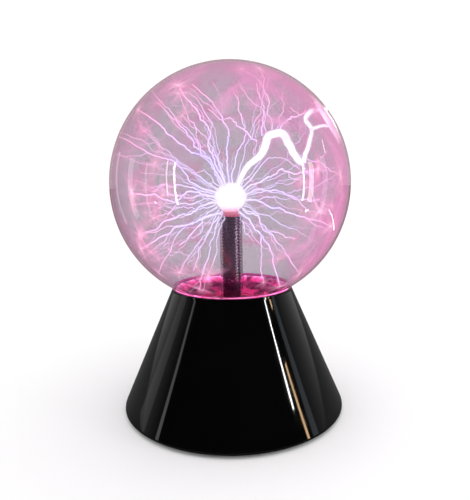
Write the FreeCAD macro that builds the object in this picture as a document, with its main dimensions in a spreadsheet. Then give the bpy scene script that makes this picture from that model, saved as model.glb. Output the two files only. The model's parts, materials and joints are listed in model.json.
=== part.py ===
import FreeCAD, Part

import math
import os
from types import SimpleNamespace

import Sketcher
from FreeCAD import Placement, Rotation, Vector

# A table-top plasma ball: a sealed glass globe on a glossy cone-shaped base.
# Millimetres. The origin is on the table under the globe's centre, +Z is up, the front faces -Y
# and the power inlet and the switch are at the back, +Y.

SIZES = {
    # The globe and its neck, which is sealed to the stem's flare.
    "globe_radius": 89.0,
    "globe_wall": 2.0,
    "globe_centre": 172.0,
    "neck_radius": 16.0,
    "neck_wall": 2.0,
    "neck_bottom": 76.2,
    # The stem: a glass tube from the flare up to the bulb.
    "flare_thickness": 1.2,
    "stem_radius": 8.6,
    "stem_wall": 1.0,
    "bulb_radius": 12.0,
    "bulb_drop": 10.5,
    "tip_radius": 2.0,
    "tip_bore": 1.1,
    "tip_length": 7.0,
    "tip_offset": 10.7,
    # What is inside the stem.
    "filling_radius": 10.7,
    "filling_bottom": 152.0,
    "sleeve_bore": 5.6,
    "sleeve_core": 6.3,
    "sleeve_radius": 7.3,
    "sleeve_bottom": 80.0,
    "rib_pitch": 2.36,
    "rib_root": 1.7,
    "rib_crest": 0.9,
    "rib_count": 29,
    "lead_radius": 1.5,
    "plug_radius": 7.5,
    "plug_flange": 8.2,
    "plug_bottom": 71.5,
    # The dish, gasket and clamp under the globe.
    "dish_gap": 1.0,
    "dish_wall": 1.6,
    "dish_radius": 43.2,
    "dish_foot": 38.0,
    "dish_hole": 17.0,
    "hub_radius": 28.0,
    "hub_bottom": 80.5,
    "gasket_inner": 29.0,
    "gasket_outer": 35.0,
    "clamp_bottom": 73.5,
    "clamp_bore": 12.9,
    "clamp_cup": 16.3,
    "clamp_step": 78.0,
    # The cone.
    "cone_bottom": 2.0,
    "cone_heel": 4.2,
    "cone_radius": 85.4,
    "cone_shoulder_radius": 46.1,
    "cone_shoulder": 93.4,
    "cone_wall": 2.85,
    "rim_top": 94.9,
    "rim_inner": 44.95,
    "rim_throat": 43.35,
    "ledge_top": 86.5,
    "ledge_thickness": 2.5,
    "boss_radius": 4.0,
    "boss_circle": 70.0,
    "boss_top": 28.0,
    "boss_count": 3,
    # The bottom cover, its feet and the board on its pillars.
    "cover_radius": 82.9,
    "cover_thickness": 2.5,
    "foot_radius": 7.0,
    "foot_circle": 70.0,
    "vent_length": 34.0,
    "vent_width": 3.0,
    "vent_pitch": 7.0,
    "vent_count": 7,
    "board_length": 84.0,
    "board_width": 60.0,
    "board_bottom": 16.0,
    "board_thickness": 1.6,
    "pillar_radius": 3.0,
    "pillar_x": 38.0,
    "pillar_y": 26.0,
    # The transformer: a rectangular core with a coil on each leg.
    "core_leg": 8.0,
    "core_depth": 10.0,
    "core_span": 24.0,
    "core_height": 32.0,
    "core_y": -9.0,
    "coil_bore": 6.5,
    "bobbin_tube": 7.4,
    "bobbin_flange": 10.9,
    "flange_thickness": 1.2,
    "primary_radius": 8.2,
    "secondary_radius": 10.4,
    # The rear panel, a tray let into the cone, with the inlet and the switch in its back wall.
    "panel_half_width": 25.0,
    "panel_wall": 2.0,
    "panel_height": 26.0,
    "panel_face": 66.0,
    "panel_axis": 20.0,
    "jack_x": 12.0,
    "jack_radius": 3.9,
    "jack_bore": 3.15,
    "jack_back": 52.0,
    "jack_floor": 57.0,
    "jack_flange": 5.6,
    "jack_flange_thickness": 1.4,
    "pin_radius": 1.0,
    "pin_tail": 0.8,
    "switch_x": -9.5,
    "switch_back": 56.0,
    "switch_screw_x": 11.0,
    "knob_half_width": 2.0,
    "knob_half_height": 1.9,
    "knob_tip": 70.6,
    "knob_travel": 3.0,
}


class Size:
    """A length that carries its value and the spreadsheet formula it comes from."""

    def __init__(self, value, formula):
        self.value = float(value)
        self.formula = formula

    def __add__(self, other):
        other = size_of(other)
        return Size(self.value + other.value, f"({self.formula} + {other.formula})")

    def __sub__(self, other):
        other = size_of(other)
        return Size(self.value - other.value, f"({self.formula} - {other.formula})")

    def __mul__(self, other):
        other = size_of(other)
        return Size(self.value * other.value, f"({self.formula} * {other.formula})")

    def __truediv__(self, other):
        other = size_of(other)
        return Size(self.value / other.value, f"({self.formula} / {other.formula})")

    def __radd__(self, other):
        return size_of(other) + self

    def __rsub__(self, other):
        return size_of(other) - self

    def __rmul__(self, other):
        return size_of(other) * self

    def __neg__(self):
        return size_of(0) - self


def size_of(thing):
    """Let plain numbers stand where sizes are expected."""
    return thing if isinstance(thing, Size) else Size(thing, repr(float(thing)))


def root(size):
    return Size(math.sqrt(size.value), f"sqrt({size.formula})")


doc = FreeCAD.newDocument("plasma_ball")
sheet = doc.addObject("Spreadsheet::Sheet", "Sizes")
for row, (alias, number) in enumerate(SIZES.items(), start=1):
    sheet.set(f"A{row}", alias)
    sheet.set(f"B{row}", str(number))
    sheet.setAlias(f"B{row}", alias)
doc.recompute()
s = SimpleNamespace(**{alias: Size(number, f"Sizes.{alias}") for alias, number in SIZES.items()})

# Levels and radii that several pieces share.
cover_top = s.cone_bottom + s.cover_thickness
board_top = s.board_bottom + s.board_thickness
flare_bottom = s.neck_bottom - s.flare_thickness
bulb_centre = s.globe_centre - s.bulb_drop
cone_slope = (s.cone_radius - 0.2 - s.cone_shoulder_radius) / (s.cone_shoulder - s.cone_heel)
panel_back = s.panel_face - s.panel_wall
core_top = board_top + s.core_height
window_bottom = board_top + s.core_leg
window_top = core_top - s.core_leg


def below_centre(radius, offset):
    """Height of the lower half of a sphere round the globe's centre, at a distance from the axis."""
    return s.globe_centre - root(radius * radius - offset * offset)


# ---------------------------------------------------------------- helpers
sub_parts = []
AXES = {
    "z": Rotation(),
    "y": Rotation(Vector(1, 0, 0), -90),
    "x": Rotation(Vector(0, 1, 0), 90),
    "down": Rotation(Vector(1, 0, 0), 180),
    "inwards": Rotation(Vector(1, 0, 0), 90),
}


def bind(thing, path, size):
    thing.setExpression(path, size_of(size).formula)


def place(thing, x=0, y=0, z=0, along="z"):
    """Put a piece at a point, with its own Z axis along the named direction."""
    point = [size_of(value) for value in (x, y, z)]
    thing.Placement = Placement(Vector(*[value.value for value in point]), AXES[along])
    for letter, value in zip("xyz", point):
        bind(thing, f"Placement.Base.{letter}", value)
    return thing


def sub_part(thing, label):
    thing.Label = label
    sub_parts.append(thing)
    return thing


def cylinder(name, radius, height, x=0, y=0, z=0, along="z"):
    piece = doc.addObject("Part::Cylinder", name)
    bind(piece, "Radius", radius)
    bind(piece, "Height", height)
    return place(piece, x, y, z, along)


def cone(name, radius, end_radius, height, x=0, y=0, z=0, along="z"):
    piece = doc.addObject("Part::Cone", name)
    bind(piece, "Radius1", radius)
    bind(piece, "Radius2", end_radius)
    bind(piece, "Height", height)
    return place(piece, x, y, z, along)


def sphere(name, radius, z):
    piece = doc.addObject("Part::Sphere", name)
    bind(piece, "Radius", radius)
    return place(piece, 0, 0, z)


def box(name, length, width, height, x=0, y=0, z=0):
    """A box centred on x and y that stands on z."""
    piece = doc.addObject("Part::Box", name)
    bind(piece, "Length", length)
    bind(piece, "Width", width)
    bind(piece, "Height", height)
    return place(piece, x - size_of(length) / 2, y - size_of(width) / 2, z)


def cut(name, base, tool):
    piece = doc.addObject("Part::Cut", name)
    piece.Base = base
    piece.Tool = tool
    return piece


def fuse(name, pieces):
    piece = doc.addObject("Part::MultiFuse", name)
    piece.Shapes = pieces
    return piece


def group(name, pieces):
    piece = doc.addObject("Part::Compound", name)
    piece.Links = pieces
    return piece


def ring(name, inner, outer, bottom, top, x=0, y=0):
    """A plain tube that stands on its end."""
    height = size_of(top) - bottom
    rod = cylinder(f"{name}_outside", outer, height, x, y, bottom)
    bore = cylinder(f"{name}_bore", inner, height, x, y, bottom)
    return cut(name, rod, bore)


def screw(name, head_radius, head_height, shank_radius, shank_length, x, y, z, along):
    """A pan-head screw with a straight slot. Its own Z runs from the head to the point."""
    head = cylinder(f"{name}_head", head_radius, head_height)
    shank = cylinder(f"{name}_shank", shank_radius, shank_length, 0, 0, head_height)
    slot = box(f"{name}_slot", head_radius * 1.5, 0.6, head_height * 0.5)
    piece = cut(name, fuse(f"{name}_blank", [head, shank]), slot)
    return place(piece, x, y, z, along)


def around(count, circle, start_degrees):
    """Points evenly spaced round the axis."""
    for index in range(count):
        angle = math.radians(start_degrees + 360 * index / count)
        yield circle * math.cos(angle), circle * math.sin(angle)


def origin_feature(body, role):
    return [item for item in body.Origin.OriginFeatures if item.Role == role][0]


def sketch_on(body, role, offset=0):
    """A sketch on one of the body's own origin planes, moved along the plane's normal."""
    sketch = body.newObject("Sketcher::SketchObject", f"{body.Name}_sketch")
    sketch.AttachmentSupport = [(origin_feature(body, role), "")]
    sketch.MapMode = "FlatFace"
    bind(sketch, "AttachmentOffset.Base.z", offset)
    return sketch


def dimension(sketch, kind, target, size):
    """A constraint bound to the sheet."""
    index = sketch.addConstraint(Sketcher.Constraint(kind, *target, size_of(size).value))
    bind(sketch, f"Constraints[{index}]", size)


def arc_between(start, end, radius):
    """The short arc from start to end: its centre is on the left for a positive radius."""
    chord = end - start
    to_centre = math.copysign(math.sqrt(radius ** 2 - chord.Length ** 2 / 4), radius)
    left = Vector(-chord.y, chord.x, 0).normalize()
    centre = (start + end) * 0.5 + left * to_centre
    first, last = (start, end) if radius > 0 else (end, start)
    angles = [math.atan2(point.y - centre.y, point.x - centre.x) for point in (first, last)]
    circle = Part.Circle(centre, Vector(0, 0, 1), abs(radius))
    return Part.ArcOfCircle(circle, angles[0], angles[1])


def draw_outline(sketch, corners):
    """A closed loop. A corner's third number is the radius of the arc that ends there."""
    points = [Vector(size_of(item[0]).value, size_of(item[1]).value, 0) for item in corners]
    ends = []
    first = sketch.GeometryCount
    for index, corner in enumerate(corners):
        start, end = points[index - 1], points[index]
        if len(corner) == 3:
            radius = size_of(corner[2]).value
            sketch.addGeometry(arc_between(start, end, radius))
            ends.append((1, 2) if radius > 0 else (2, 1))
        else:
            sketch.addGeometry(Part.LineSegment(start, end))
            ends.append((1, 2))
    for index, corner in enumerate(corners):
        following = (index + 1) % len(corners)
        meeting = (first + index, ends[index][1], first + following, ends[following][0])
        sketch.addConstraint(Sketcher.Constraint("Coincident", *meeting))
        dimension(sketch, "DistanceX", (-1, 1, first + index, ends[index][1]), corner[0])
        dimension(sketch, "DistanceY", (-1, 1, first + index, ends[index][1]), corner[1])
        if len(corner) == 3:
            size = size_of(corner[2])
            dimension(sketch, "Radius", (first + index,), size if size.value > 0 else -size)


def draw_rectangle(sketch, x, y, width, height):
    left, right = x - size_of(width) / 2, x + size_of(width) / 2
    low, high = y - size_of(height) / 2, y + size_of(height) / 2
    draw_outline(sketch, [(right, low), (right, high), (left, high), (left, low)])


def draw_circle(sketch, x, y, radius):
    centre = Vector(size_of(x).value, size_of(y).value, 0)
    index = sketch.addGeometry(Part.Circle(centre, Vector(0, 0, 1), size_of(radius).value))
    dimension(sketch, "Radius", (index,), radius)
    dimension(sketch, "DistanceX", (-1, 1, index, 3), x)
    dimension(sketch, "DistanceY", (-1, 1, index, 3), y)


def revolution(body, corners):
    """Turn an outline of (radius, height) corners round the body's Z axis."""
    sketch = sketch_on(body, "XZ_Plane")
    draw_outline(sketch, corners)
    feature = body.newObject("PartDesign::Revolution", f"{body.Name}_revolution")
    feature.Profile = sketch
    feature.ReferenceAxis = (sketch, ["V_Axis"])
    feature.Angle = 360
    return feature


def extrusion(body, kind, sketch, length, reverse=False):
    feature = body.newObject(f"PartDesign::{kind}", f"{body.Name}_{kind.lower()}")
    feature.Profile = sketch
    bind(feature, "Length", length)
    feature.Reversed = reverse
    return feature


def pad(body, sketch, length):
    return extrusion(body, "Pad", sketch, length)


def pocket(body, sketch, length, reverse=False):
    return extrusion(body, "Pocket", sketch, length, reverse)


def polar_pattern(body, feature, count):
    pattern = body.newObject("PartDesign::PolarPattern", f"{body.Name}_polar")
    pattern.Originals = [feature]
    pattern.Axis = (origin_feature(body, "Z_Axis"), [""])
    pattern.Angle = 360
    bind(pattern, "Occurrences", count)
    body.Tip = pattern


def linear_pattern(body, feature, role, pitch, count):
    pattern = body.newObject("PartDesign::LinearPattern", f"{body.Name}_linear")
    pattern.Originals = [feature]
    pattern.Direction = (origin_feature(body, role), [""])
    bind(pattern, "Length", pitch * (count - 1))
    bind(pattern, "Occurrences", count)
    body.Tip = pattern


def new_body(label):
    body = doc.addObject("PartDesign::Body", label)
    return sub_part(body, label)


def turned(label, corners, x=0, y=0, z=0, along="z"):
    """A sub-part that is one revolution."""
    body = new_body(label)
    revolution(body, corners)
    return place(body, x, y, z, along)


# ---------------------------------------------------------------- glass
def globe_glass():
    outside = fuse("globe_outside", [
        sphere("globe_outer_sphere", s.globe_radius, s.globe_centre),
        cylinder("neck_outside", s.neck_radius, 20, 0, 0, s.neck_bottom),
    ])
    inside = fuse("globe_inside", [
        sphere("globe_inner_sphere", s.globe_radius - s.globe_wall, s.globe_centre),
        cylinder("neck_inside", s.neck_radius - s.neck_wall, 24, 0, 0, s.neck_bottom - 2),
    ])
    sub_part(cut("globe_glass", outside, inside), "globe_glass")


def stem_glass():
    tube_length = bulb_centre - flare_bottom
    outside = fuse("stem_outside", [
        sphere("bulb_outer_sphere", s.bulb_radius, bulb_centre),
        cylinder("stem_outside_tube", s.stem_radius, tube_length, 0, 0, flare_bottom),
        cylinder("stem_flare", s.neck_radius, s.flare_thickness, 0, 0, flare_bottom),
    ])
    inside = fuse("stem_inside", [
        sphere("bulb_inner_sphere", s.bulb_radius - s.stem_wall, bulb_centre),
        cylinder("stem_inside_tube", s.stem_radius - s.stem_wall, tube_length + 2, 0, 0, flare_bottom - 2),
    ])
    sub_part(cut("stem_glass", outside, inside), "stem_glass")


def exhaust_tip():
    """The closed stub of the tube through which the globe was emptied and filled with gas."""
    corners = [
        (0, -s.tip_length),
        (s.tip_radius * 0.5, 0.8 - s.tip_length),
        (s.tip_radius, 3 - s.tip_length),
        (s.tip_radius, 0),
        (s.tip_bore, 0),
        (s.tip_bore, 3 - s.tip_length),
        (0, 2 - s.tip_length),
    ]
    turned("exhaust_tip", corners, s.tip_offset, 0, flare_bottom)


def electrode_filling():
    """Conducting wool packed in the bulb, flat where the lead's end meets it."""
    drop = bulb_centre - s.filling_bottom
    chord = root(s.filling_radius * s.filling_radius - drop * drop)
    turned("electrode_filling", [
        (0, s.filling_bottom),
        (chord, s.filling_bottom),
        (0, bulb_centre + s.filling_radius, s.filling_radius),
    ])


def stem_sleeve():
    """A ribbed insulating sleeve round the lead."""
    body = new_body("stem_sleeve")
    low = s.sleeve_bottom
    high = low + s.rib_pitch * s.rib_count
    revolution(body, [
        (s.sleeve_core, low), (s.sleeve_core, high), (s.sleeve_bore, high), (s.sleeve_bore, low),
    ])
    taper = (s.rib_root - s.rib_crest) / 2
    rib = revolution(body, [
        (s.sleeve_core - 0.2, low),
        (s.sleeve_core, low),
        (s.sleeve_radius, low + taper),
        (s.sleeve_radius, low + taper + s.rib_crest),
        (s.sleeve_core, low + s.rib_root),
        (s.sleeve_core - 0.2, low + s.rib_root),
    ])
    linear_pattern(body, rib, "Z_Axis", s.rib_pitch, s.rib_count)


def stem_plug():
    turned("stem_plug", [
        (s.lead_radius, s.plug_bottom), (s.plug_flange, s.plug_bottom), (s.plug_flange, flare_bottom),
        (s.plug_radius, flare_bottom), (s.plug_radius, s.sleeve_bottom), (s.lead_radius, s.sleeve_bottom),
    ])


def hv_lead():
    """The insulated lead from the transformer's upper flange straight up to the filling."""
    start = window_top - 0.2
    lead = cylinder("hv_lead", s.lead_radius, s.filling_bottom - start, 0, 0, start)
    sub_part(lead, "hv_lead")


# ---------------------------------------------------------------- seat of the globe
def seat_dish():
    top = s.globe_radius + s.dish_gap
    under = top + s.dish_wall
    body = new_body("seat_dish")
    revolution(body, [
        (s.dish_hole, s.hub_bottom),
        (s.hub_radius, s.hub_bottom),
        (s.hub_radius, below_centre(under, s.hub_radius)),
        (s.dish_foot, below_centre(under, s.dish_foot), under),
        (s.dish_foot, s.ledge_top),
        (s.dish_radius, s.ledge_top),
        (s.dish_radius, below_centre(top, s.dish_radius)),
        (s.dish_hole, below_centre(top, s.dish_hole), -top),
    ])
    screw_circle = (s.dish_foot + s.dish_radius) / 2
    hole = sketch_on(body, "XY_Plane", s.ledge_top)
    draw_circle(hole, screw_circle, 0, 1.1)
    polar_pattern(body, pocket(body, hole, 8, reverse=True), s.boss_count)
    seat = sketch_on(body, "XY_Plane", s.ledge_top + 2)
    draw_circle(seat, screw_circle, 0, 2.1)
    polar_pattern(body, pocket(body, seat, 8, reverse=True), s.boss_count)
    pilot = sketch_on(body, "XY_Plane", s.hub_bottom)
    draw_circle(pilot, 24, 0, 1.0)
    polar_pattern(body, pocket(body, pilot, 3, reverse=True), s.boss_count)


def dish_screws():
    circle = (SIZES["dish_foot"] + SIZES["dish_radius"]) / 2
    height = s.ledge_top + 3.4
    screws = [
        screw(f"dish_screw_{index}", 1.9, 1.4, 1.0, 7.5, x, y, height, "down")
        for index, (x, y) in enumerate(around(3, circle, 0))
    ]
    sub_part(group("dish_screws", screws), "dish_screws")


def globe_gasket():
    """A soft ring that carries the globe on the dish."""
    clearance = 0.02
    low = s.globe_radius + s.dish_gap - clearance
    high = s.globe_radius + clearance
    turned("globe_gasket", [
        (s.gasket_inner, below_centre(high, s.gasket_inner)),
        (s.gasket_inner, below_centre(low, s.gasket_inner)),
        (s.gasket_outer, below_centre(low, s.gasket_outer), low),
        (s.gasket_outer, below_centre(high, s.gasket_outer)),
        (s.gasket_inner, below_centre(high, s.gasket_inner), -high),
    ][1:])


def neck_sealant():
    sealant = ring("neck_sealant", s.neck_radius, s.dish_hole, s.hub_bottom, 83.2)
    sub_part(sealant, "neck_sealant")


def neck_clamp_ring():
    body = new_body("neck_clamp_ring")
    revolution(body, [
        (s.clamp_bore, s.clamp_bottom),
        (s.clamp_cup + 1.9, s.clamp_bottom),
        (s.clamp_cup + 1.9, s.clamp_step),
        (s.hub_radius, s.clamp_step),
        (s.hub_radius, s.hub_bottom),
        (s.clamp_cup, s.hub_bottom),
        (s.clamp_cup, flare_bottom - 0.1),
        (s.clamp_bore, flare_bottom - 0.1),
    ])
    hole = sketch_on(body, "XY_Plane", s.clamp_step)
    draw_circle(hole, 24, 0, 1.1)
    polar_pattern(body, pocket(body, hole, 4, reverse=True), s.boss_count)


def clamp_screws():
    screws = [
        screw(f"clamp_screw_{index}", 2.0, 1.3, 1.0, 4.5, x, y, s.clamp_step - 1.3, "z")
        for index, (x, y) in enumerate(around(3, 24, 0))
    ]
    sub_part(group("clamp_screws", screws), "clamp_screws")


# ---------------------------------------------------------------- base
def base_cone():
    """The moulded cone, with a rim round the globe, a ledge for the dish and bosses for the cover."""
    body = new_body("base_cone")
    ledge_under = s.ledge_top - s.ledge_thickness
    inner_top = s.cone_shoulder_radius + cone_slope * (s.cone_shoulder - ledge_under) - s.cone_wall
    inner_low = s.cone_shoulder_radius + cone_slope * (s.cone_shoulder - cover_top) - s.cone_wall
    revolution(body, [
        (s.cone_radius - 1.2, s.cone_bottom),
        (s.cone_radius, s.cone_bottom + 0.9),
        (s.cone_radius - 0.2, s.cone_heel),
        (s.cone_shoulder_radius, s.cone_shoulder),
        (s.cone_shoulder_radius - 0.2, s.rim_top - 0.5),
        (s.cone_shoulder_radius - 0.65, s.rim_top),
        (s.rim_inner, s.rim_top),
        (s.rim_throat, s.cone_shoulder),
        (s.rim_throat, s.ledge_top),
        (s.dish_foot, s.ledge_top),
        (s.dish_foot, ledge_under),
        (inner_top, ledge_under),
        (inner_low, cover_top),
        (s.cover_radius + 0.3, cover_top),
        (s.cover_radius + 0.3, s.cone_bottom),
    ])
    boss = sketch_on(body, "XY_Plane", cover_top)
    draw_circle(boss, 0, -s.boss_circle, s.boss_radius)
    polar_pattern(body, pad(body, boss, s.boss_top - cover_top), s.boss_count)
    pilot = sketch_on(body, "XY_Plane", cover_top)
    draw_circle(pilot, 0, -s.boss_circle, 1.25)
    polar_pattern(body, pocket(body, pilot, 14, reverse=True), s.boss_count)
    ledge_hole = sketch_on(body, "XY_Plane", ledge_under)
    draw_circle(ledge_hole, (s.dish_foot + s.dish_radius) / 2, 0, 1.0)
    polar_pattern(body, pocket(body, ledge_hole, s.ledge_thickness, reverse=True), s.boss_count)
    window = sketch_on(body, "XZ_Plane", -60)
    draw_rectangle(window, 0, s.panel_axis, s.panel_half_width * 2 + 0.2, s.panel_height + 0.2)
    body.Tip = pocket(body, window, 40)


def rear_panel():
    """A tray whose back wall is upright and carries the inlet and the switch."""
    height = s.panel_height
    low = s.panel_axis - height / 2
    block = box("panel_block", s.panel_half_width * 2, 30, height, 0, panel_back + 15, low)
    trim = cone("panel_trim", s.cone_radius - 0.2, s.cone_shoulder_radius,
                s.cone_shoulder - s.cone_heel, 0, 0, s.cone_heel)
    outside = doc.addObject("Part::Common", "panel_outside")
    outside.Base = block
    outside.Tool = trim
    hollow_width = (s.panel_half_width - s.panel_wall) * 2
    hollow = box("panel_hollow", hollow_width, 30, height - s.panel_wall * 2,
                 0, s.panel_face + 15, low + s.panel_wall)
    slot_height = s.knob_half_height * 2 + 0.6
    slot = box("panel_slot", switch_slot(), 10, slot_height,
               s.switch_x, panel_back, s.panel_axis - slot_height / 2)
    holes = [
        cylinder("panel_jack_hole", s.jack_radius + 0.05, 10, s.jack_x, panel_back - 4, s.panel_axis, "y"),
        hollow,
        slot,
    ]
    for side in (-1, 1):
        x = s.switch_x + s.switch_screw_x * side
        holes.append(cylinder("panel_screw_hole", 1.05, 10, x, panel_back - 4, s.panel_axis, "y"))
    sub_part(cut("rear_panel", outside, fuse("panel_holes", holes)), "rear_panel")


def bottom_cover():
    body = new_body("bottom_cover")
    revolution(body, [
        (0, s.cone_bottom),
        (s.cover_radius - 0.6, s.cone_bottom),
        (s.cover_radius, s.cone_bottom + 0.6),
        (s.cover_radius, cover_top - 1),
        (s.cover_radius - 0.9, cover_top),
        (0, cover_top),
    ])
    pillars = sketch_on(body, "XY_Plane", cover_top)
    for x in (-s.pillar_x, s.pillar_x):
        for y in (-s.pillar_y, s.pillar_y):
            draw_circle(pillars, x, y, s.pillar_radius)
    pad(body, pillars, s.board_bottom - cover_top)
    pilots = sketch_on(body, "XY_Plane", s.board_bottom)
    for x in (-s.pillar_x, s.pillar_x):
        for y in (-s.pillar_y, s.pillar_y):
            draw_circle(pilots, x, y, 1.3)
    pocket(body, pilots, 9)
    hole = sketch_on(body, "XY_Plane", s.cone_bottom)
    draw_circle(hole, 0, -s.boss_circle, 1.6)
    polar_pattern(body, pocket(body, hole, 5, reverse=True), s.boss_count)
    recess = sketch_on(body, "XY_Plane", s.cone_bottom)
    draw_circle(recess, 0, -s.boss_circle, 3.1)
    polar_pattern(body, pocket(body, recess, 1.5, reverse=True), s.boss_count)
    vent = sketch_on(body, "XY_Plane", s.cone_bottom)
    first_vent = -s.vent_pitch * (s.vent_count - 1) / 2
    draw_rectangle(vent, first_vent, 0, s.vent_width, s.vent_length)
    slots = pocket(body, vent, 5, reverse=True)
    linear_pattern(body, slots, "X_Axis", s.vent_pitch, s.vent_count)


def cover_screws():
    screws = [
        screw(f"cover_screw_{index}", 2.8, 1.2, 1.2, 11.5, x, y, s.cone_bottom + 0.3, "z")
        for index, (x, y) in enumerate(around(3, SIZES["boss_circle"], -90))
    ]
    sub_part(group("cover_screws", screws), "cover_screws")


def rubber_feet():
    feet = []
    for index, (x, y) in enumerate(around(4, SIZES["foot_circle"], 45)):
        tread = cone(f"foot_tread_{index}", s.foot_radius - 0.8, s.foot_radius, 0.8, x, y, 0)
        top = cylinder(f"foot_top_{index}", s.foot_radius, s.cone_bottom - 0.8, x, y, 0.8)
        feet.append(fuse(f"foot_{index}", [tread, top]))
    sub_part(group("rubber_feet", feet), "rubber_feet")


# ---------------------------------------------------------------- electronics
def driver_board():
    plate = box("board_plate", s.board_length, s.board_width, s.board_thickness, 0, 0, s.board_bottom)
    holes = [
        cylinder(f"board_hole_{x}_{y}", 1.6, 4, x * s.pillar_x, y * s.pillar_y, s.board_bottom - 1)
        for x in (-1, 1) for y in (-1, 1)
    ]
    sub_part(cut("driver_board", plate, fuse("board_holes", holes)), "driver_board")


def board_screws():
    screws = [
        screw(f"board_screw_{x}_{y}", 2.8, 1.6, 1.25, 9, x * s.pillar_x, y * s.pillar_y,
              board_top + 1.6, "down")
        for x in (-1, 1) for y in (-1, 1)
    ]
    sub_part(group("board_screws", screws), "board_screws")


def ferrite_core():
    length = s.core_span + s.core_leg
    middle = -s.core_span / 2
    block = box("core_block", length, s.core_depth, s.core_height, middle, s.core_y, board_top)
    window = box("core_window", length - s.core_leg * 2, 20, s.core_height - s.core_leg * 2,
                 middle, s.core_y, window_bottom)
    sub_part(cut("ferrite_core", block, window), "ferrite_core")


def transformer_coils():
    low = window_bottom + 0.2
    high = window_top - 0.2
    turned("transformer_bobbin", [
        (s.coil_bore, low),
        (s.bobbin_flange, low),
        (s.bobbin_flange, low + s.flange_thickness),
        (s.bobbin_tube, low + s.flange_thickness),
        (s.bobbin_tube, high - s.flange_thickness),
        (s.bobbin_flange, high - s.flange_thickness),
        (s.bobbin_flange, high),
        (s.coil_bore, high),
    ], 0, s.core_y, 0)
    secondary = ring("secondary_winding", s.bobbin_tube, s.secondary_radius,
                     low + s.flange_thickness, high - s.flange_thickness, 0, s.core_y)
    sub_part(secondary, "secondary_winding")
    primary = ring("primary_winding", s.coil_bore, s.primary_radius, low + 2, high - 2,
                   -s.core_span, s.core_y)
    sub_part(primary, "primary_winding")


HEAT_SINK_X = 33.0
HEAT_SINK_SCREW_HEIGHT = 32.5


def heat_sink():
    body = new_body("heat_sink")
    plate = sketch_on(body, "XY_Plane", board_top)
    draw_rectangle(plate, HEAT_SINK_X + 1.25, 0, 2.5, 28)
    pad(body, plate, 24)
    fin = sketch_on(body, "XY_Plane", board_top)
    draw_rectangle(fin, HEAT_SINK_X + 5, -13.2, 6, 1.6)
    linear_pattern(body, pad(body, fin, 24), "Y_Axis", size_of(5.28), size_of(6))
    hole = sketch_on(body, "YZ_Plane", HEAT_SINK_X)
    draw_circle(hole, 0, HEAT_SINK_SCREW_HEIGHT, 1.35)
    body.Tip = pocket(body, hole, 2.6, reverse=True)


def power_transistor():
    """A flat package on three legs, with its tab against the heat sink."""
    pieces = [
        box("transistor_case", 4.4, 10, 9, HEAT_SINK_X - 2.2, 0, board_top + 2.4),
        box("transistor_tab", 1.3, 10, 16, HEAT_SINK_X - 0.65, 0, board_top + 2.4),
    ]
    for index in range(3):
        y = 2.54 * (index - 1)
        pieces.append(box(f"transistor_leg_{index}", 0.5, 0.8, 2.6, HEAT_SINK_X - 2.6, y, board_top))
    solid = fuse("transistor_solid", pieces)
    hole = cylinder("transistor_hole", 1.6, 6, HEAT_SINK_X - 5, 0, HEAT_SINK_SCREW_HEIGHT, "x")
    sub_part(cut("power_transistor", solid, hole), "power_transistor")
    fastener = screw("heat_sink_screw", 2.6, 1.6, 1.3, 3.6, HEAT_SINK_X - 2.9, 0,
                     HEAT_SINK_SCREW_HEIGHT, "x")
    sub_part(fastener, "heat_sink_screw")


def board_components():
    cans = [
        fuse(f"capacitor_{y}", [
            cylinder(f"capacitor_can_{y}", 5, 14.5, 20, y, board_top),
            cylinder(f"capacitor_cap_{y}", 4.4, 0.6, 20, y, board_top + 14.5),
        ])
        for y in (-20, 14)
    ]
    sub_part(group("electrolytic_capacitors", cans), "electrolytic_capacitors")
    sub_part(box("film_capacitor", 13, 6, 11, -4, 12, board_top), "film_capacitor")
    chip = [box("chip_case", 9.6, 6.4, 3.4, -28, 8, board_top + 0.6)]
    for index in range(4):
        x = -28 + 2.54 * (index - 1.5)
        chip.append(box(f"chip_legs_{index}", 0.5, 8, 1.6, x, 8, board_top))
    sub_part(fuse("control_chip", chip), "control_chip")
    rods = []
    for index in range(4):
        y = 15 + 3.2 * index
        rods.append(fuse(f"resistor_{index}", [
            cylinder(f"resistor_rod_{index}", 1.2, 6.5, -33.3, y, board_top + 1.4, "x"),
            box(f"resistor_wire_{index}", 8.5, 0.5, 0.5, -30.05, y, board_top + 1.15),
            box(f"resistor_end_{index}", 0.5, 0.5, 1.6, -34.05, y, board_top),
            box(f"resistor_start_{index}", 0.5, 0.5, 1.6, -26.05, y, board_top),
        ]))
    sub_part(group("resistors", rods), "resistors")
    sub_part(cylinder("microphone", 4.8, 5.5, 30, 21, board_top), "microphone")
    housings = [
        box("power_connector", 8, 6, 7, s.jack_x, 25, board_top),
        box("switch_connector", 10, 6, 7, s.switch_x, 25, board_top),
    ]
    sub_part(group("lead_connectors", housings), "lead_connectors")


def leads():
    """Short straight wires from the board's connectors to the inlet and the switch."""
    start = 28
    power = [
        cylinder(f"power_lead_{index}", 0.9, s.jack_back - start, s.jack_x + x, start, s.panel_axis, "y")
        for index, x in enumerate((-2.4, 2.4))
    ]
    sub_part(group("power_leads", power), "power_leads")
    switch = [
        cylinder(f"switch_lead_{index}", 0.8, s.switch_back - 5 - start, s.switch_x + x, start,
                 s.panel_axis, "y")
        for index, x in enumerate((-3, 0, 3))
    ]
    sub_part(group("switch_leads", switch), "switch_leads")


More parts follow.
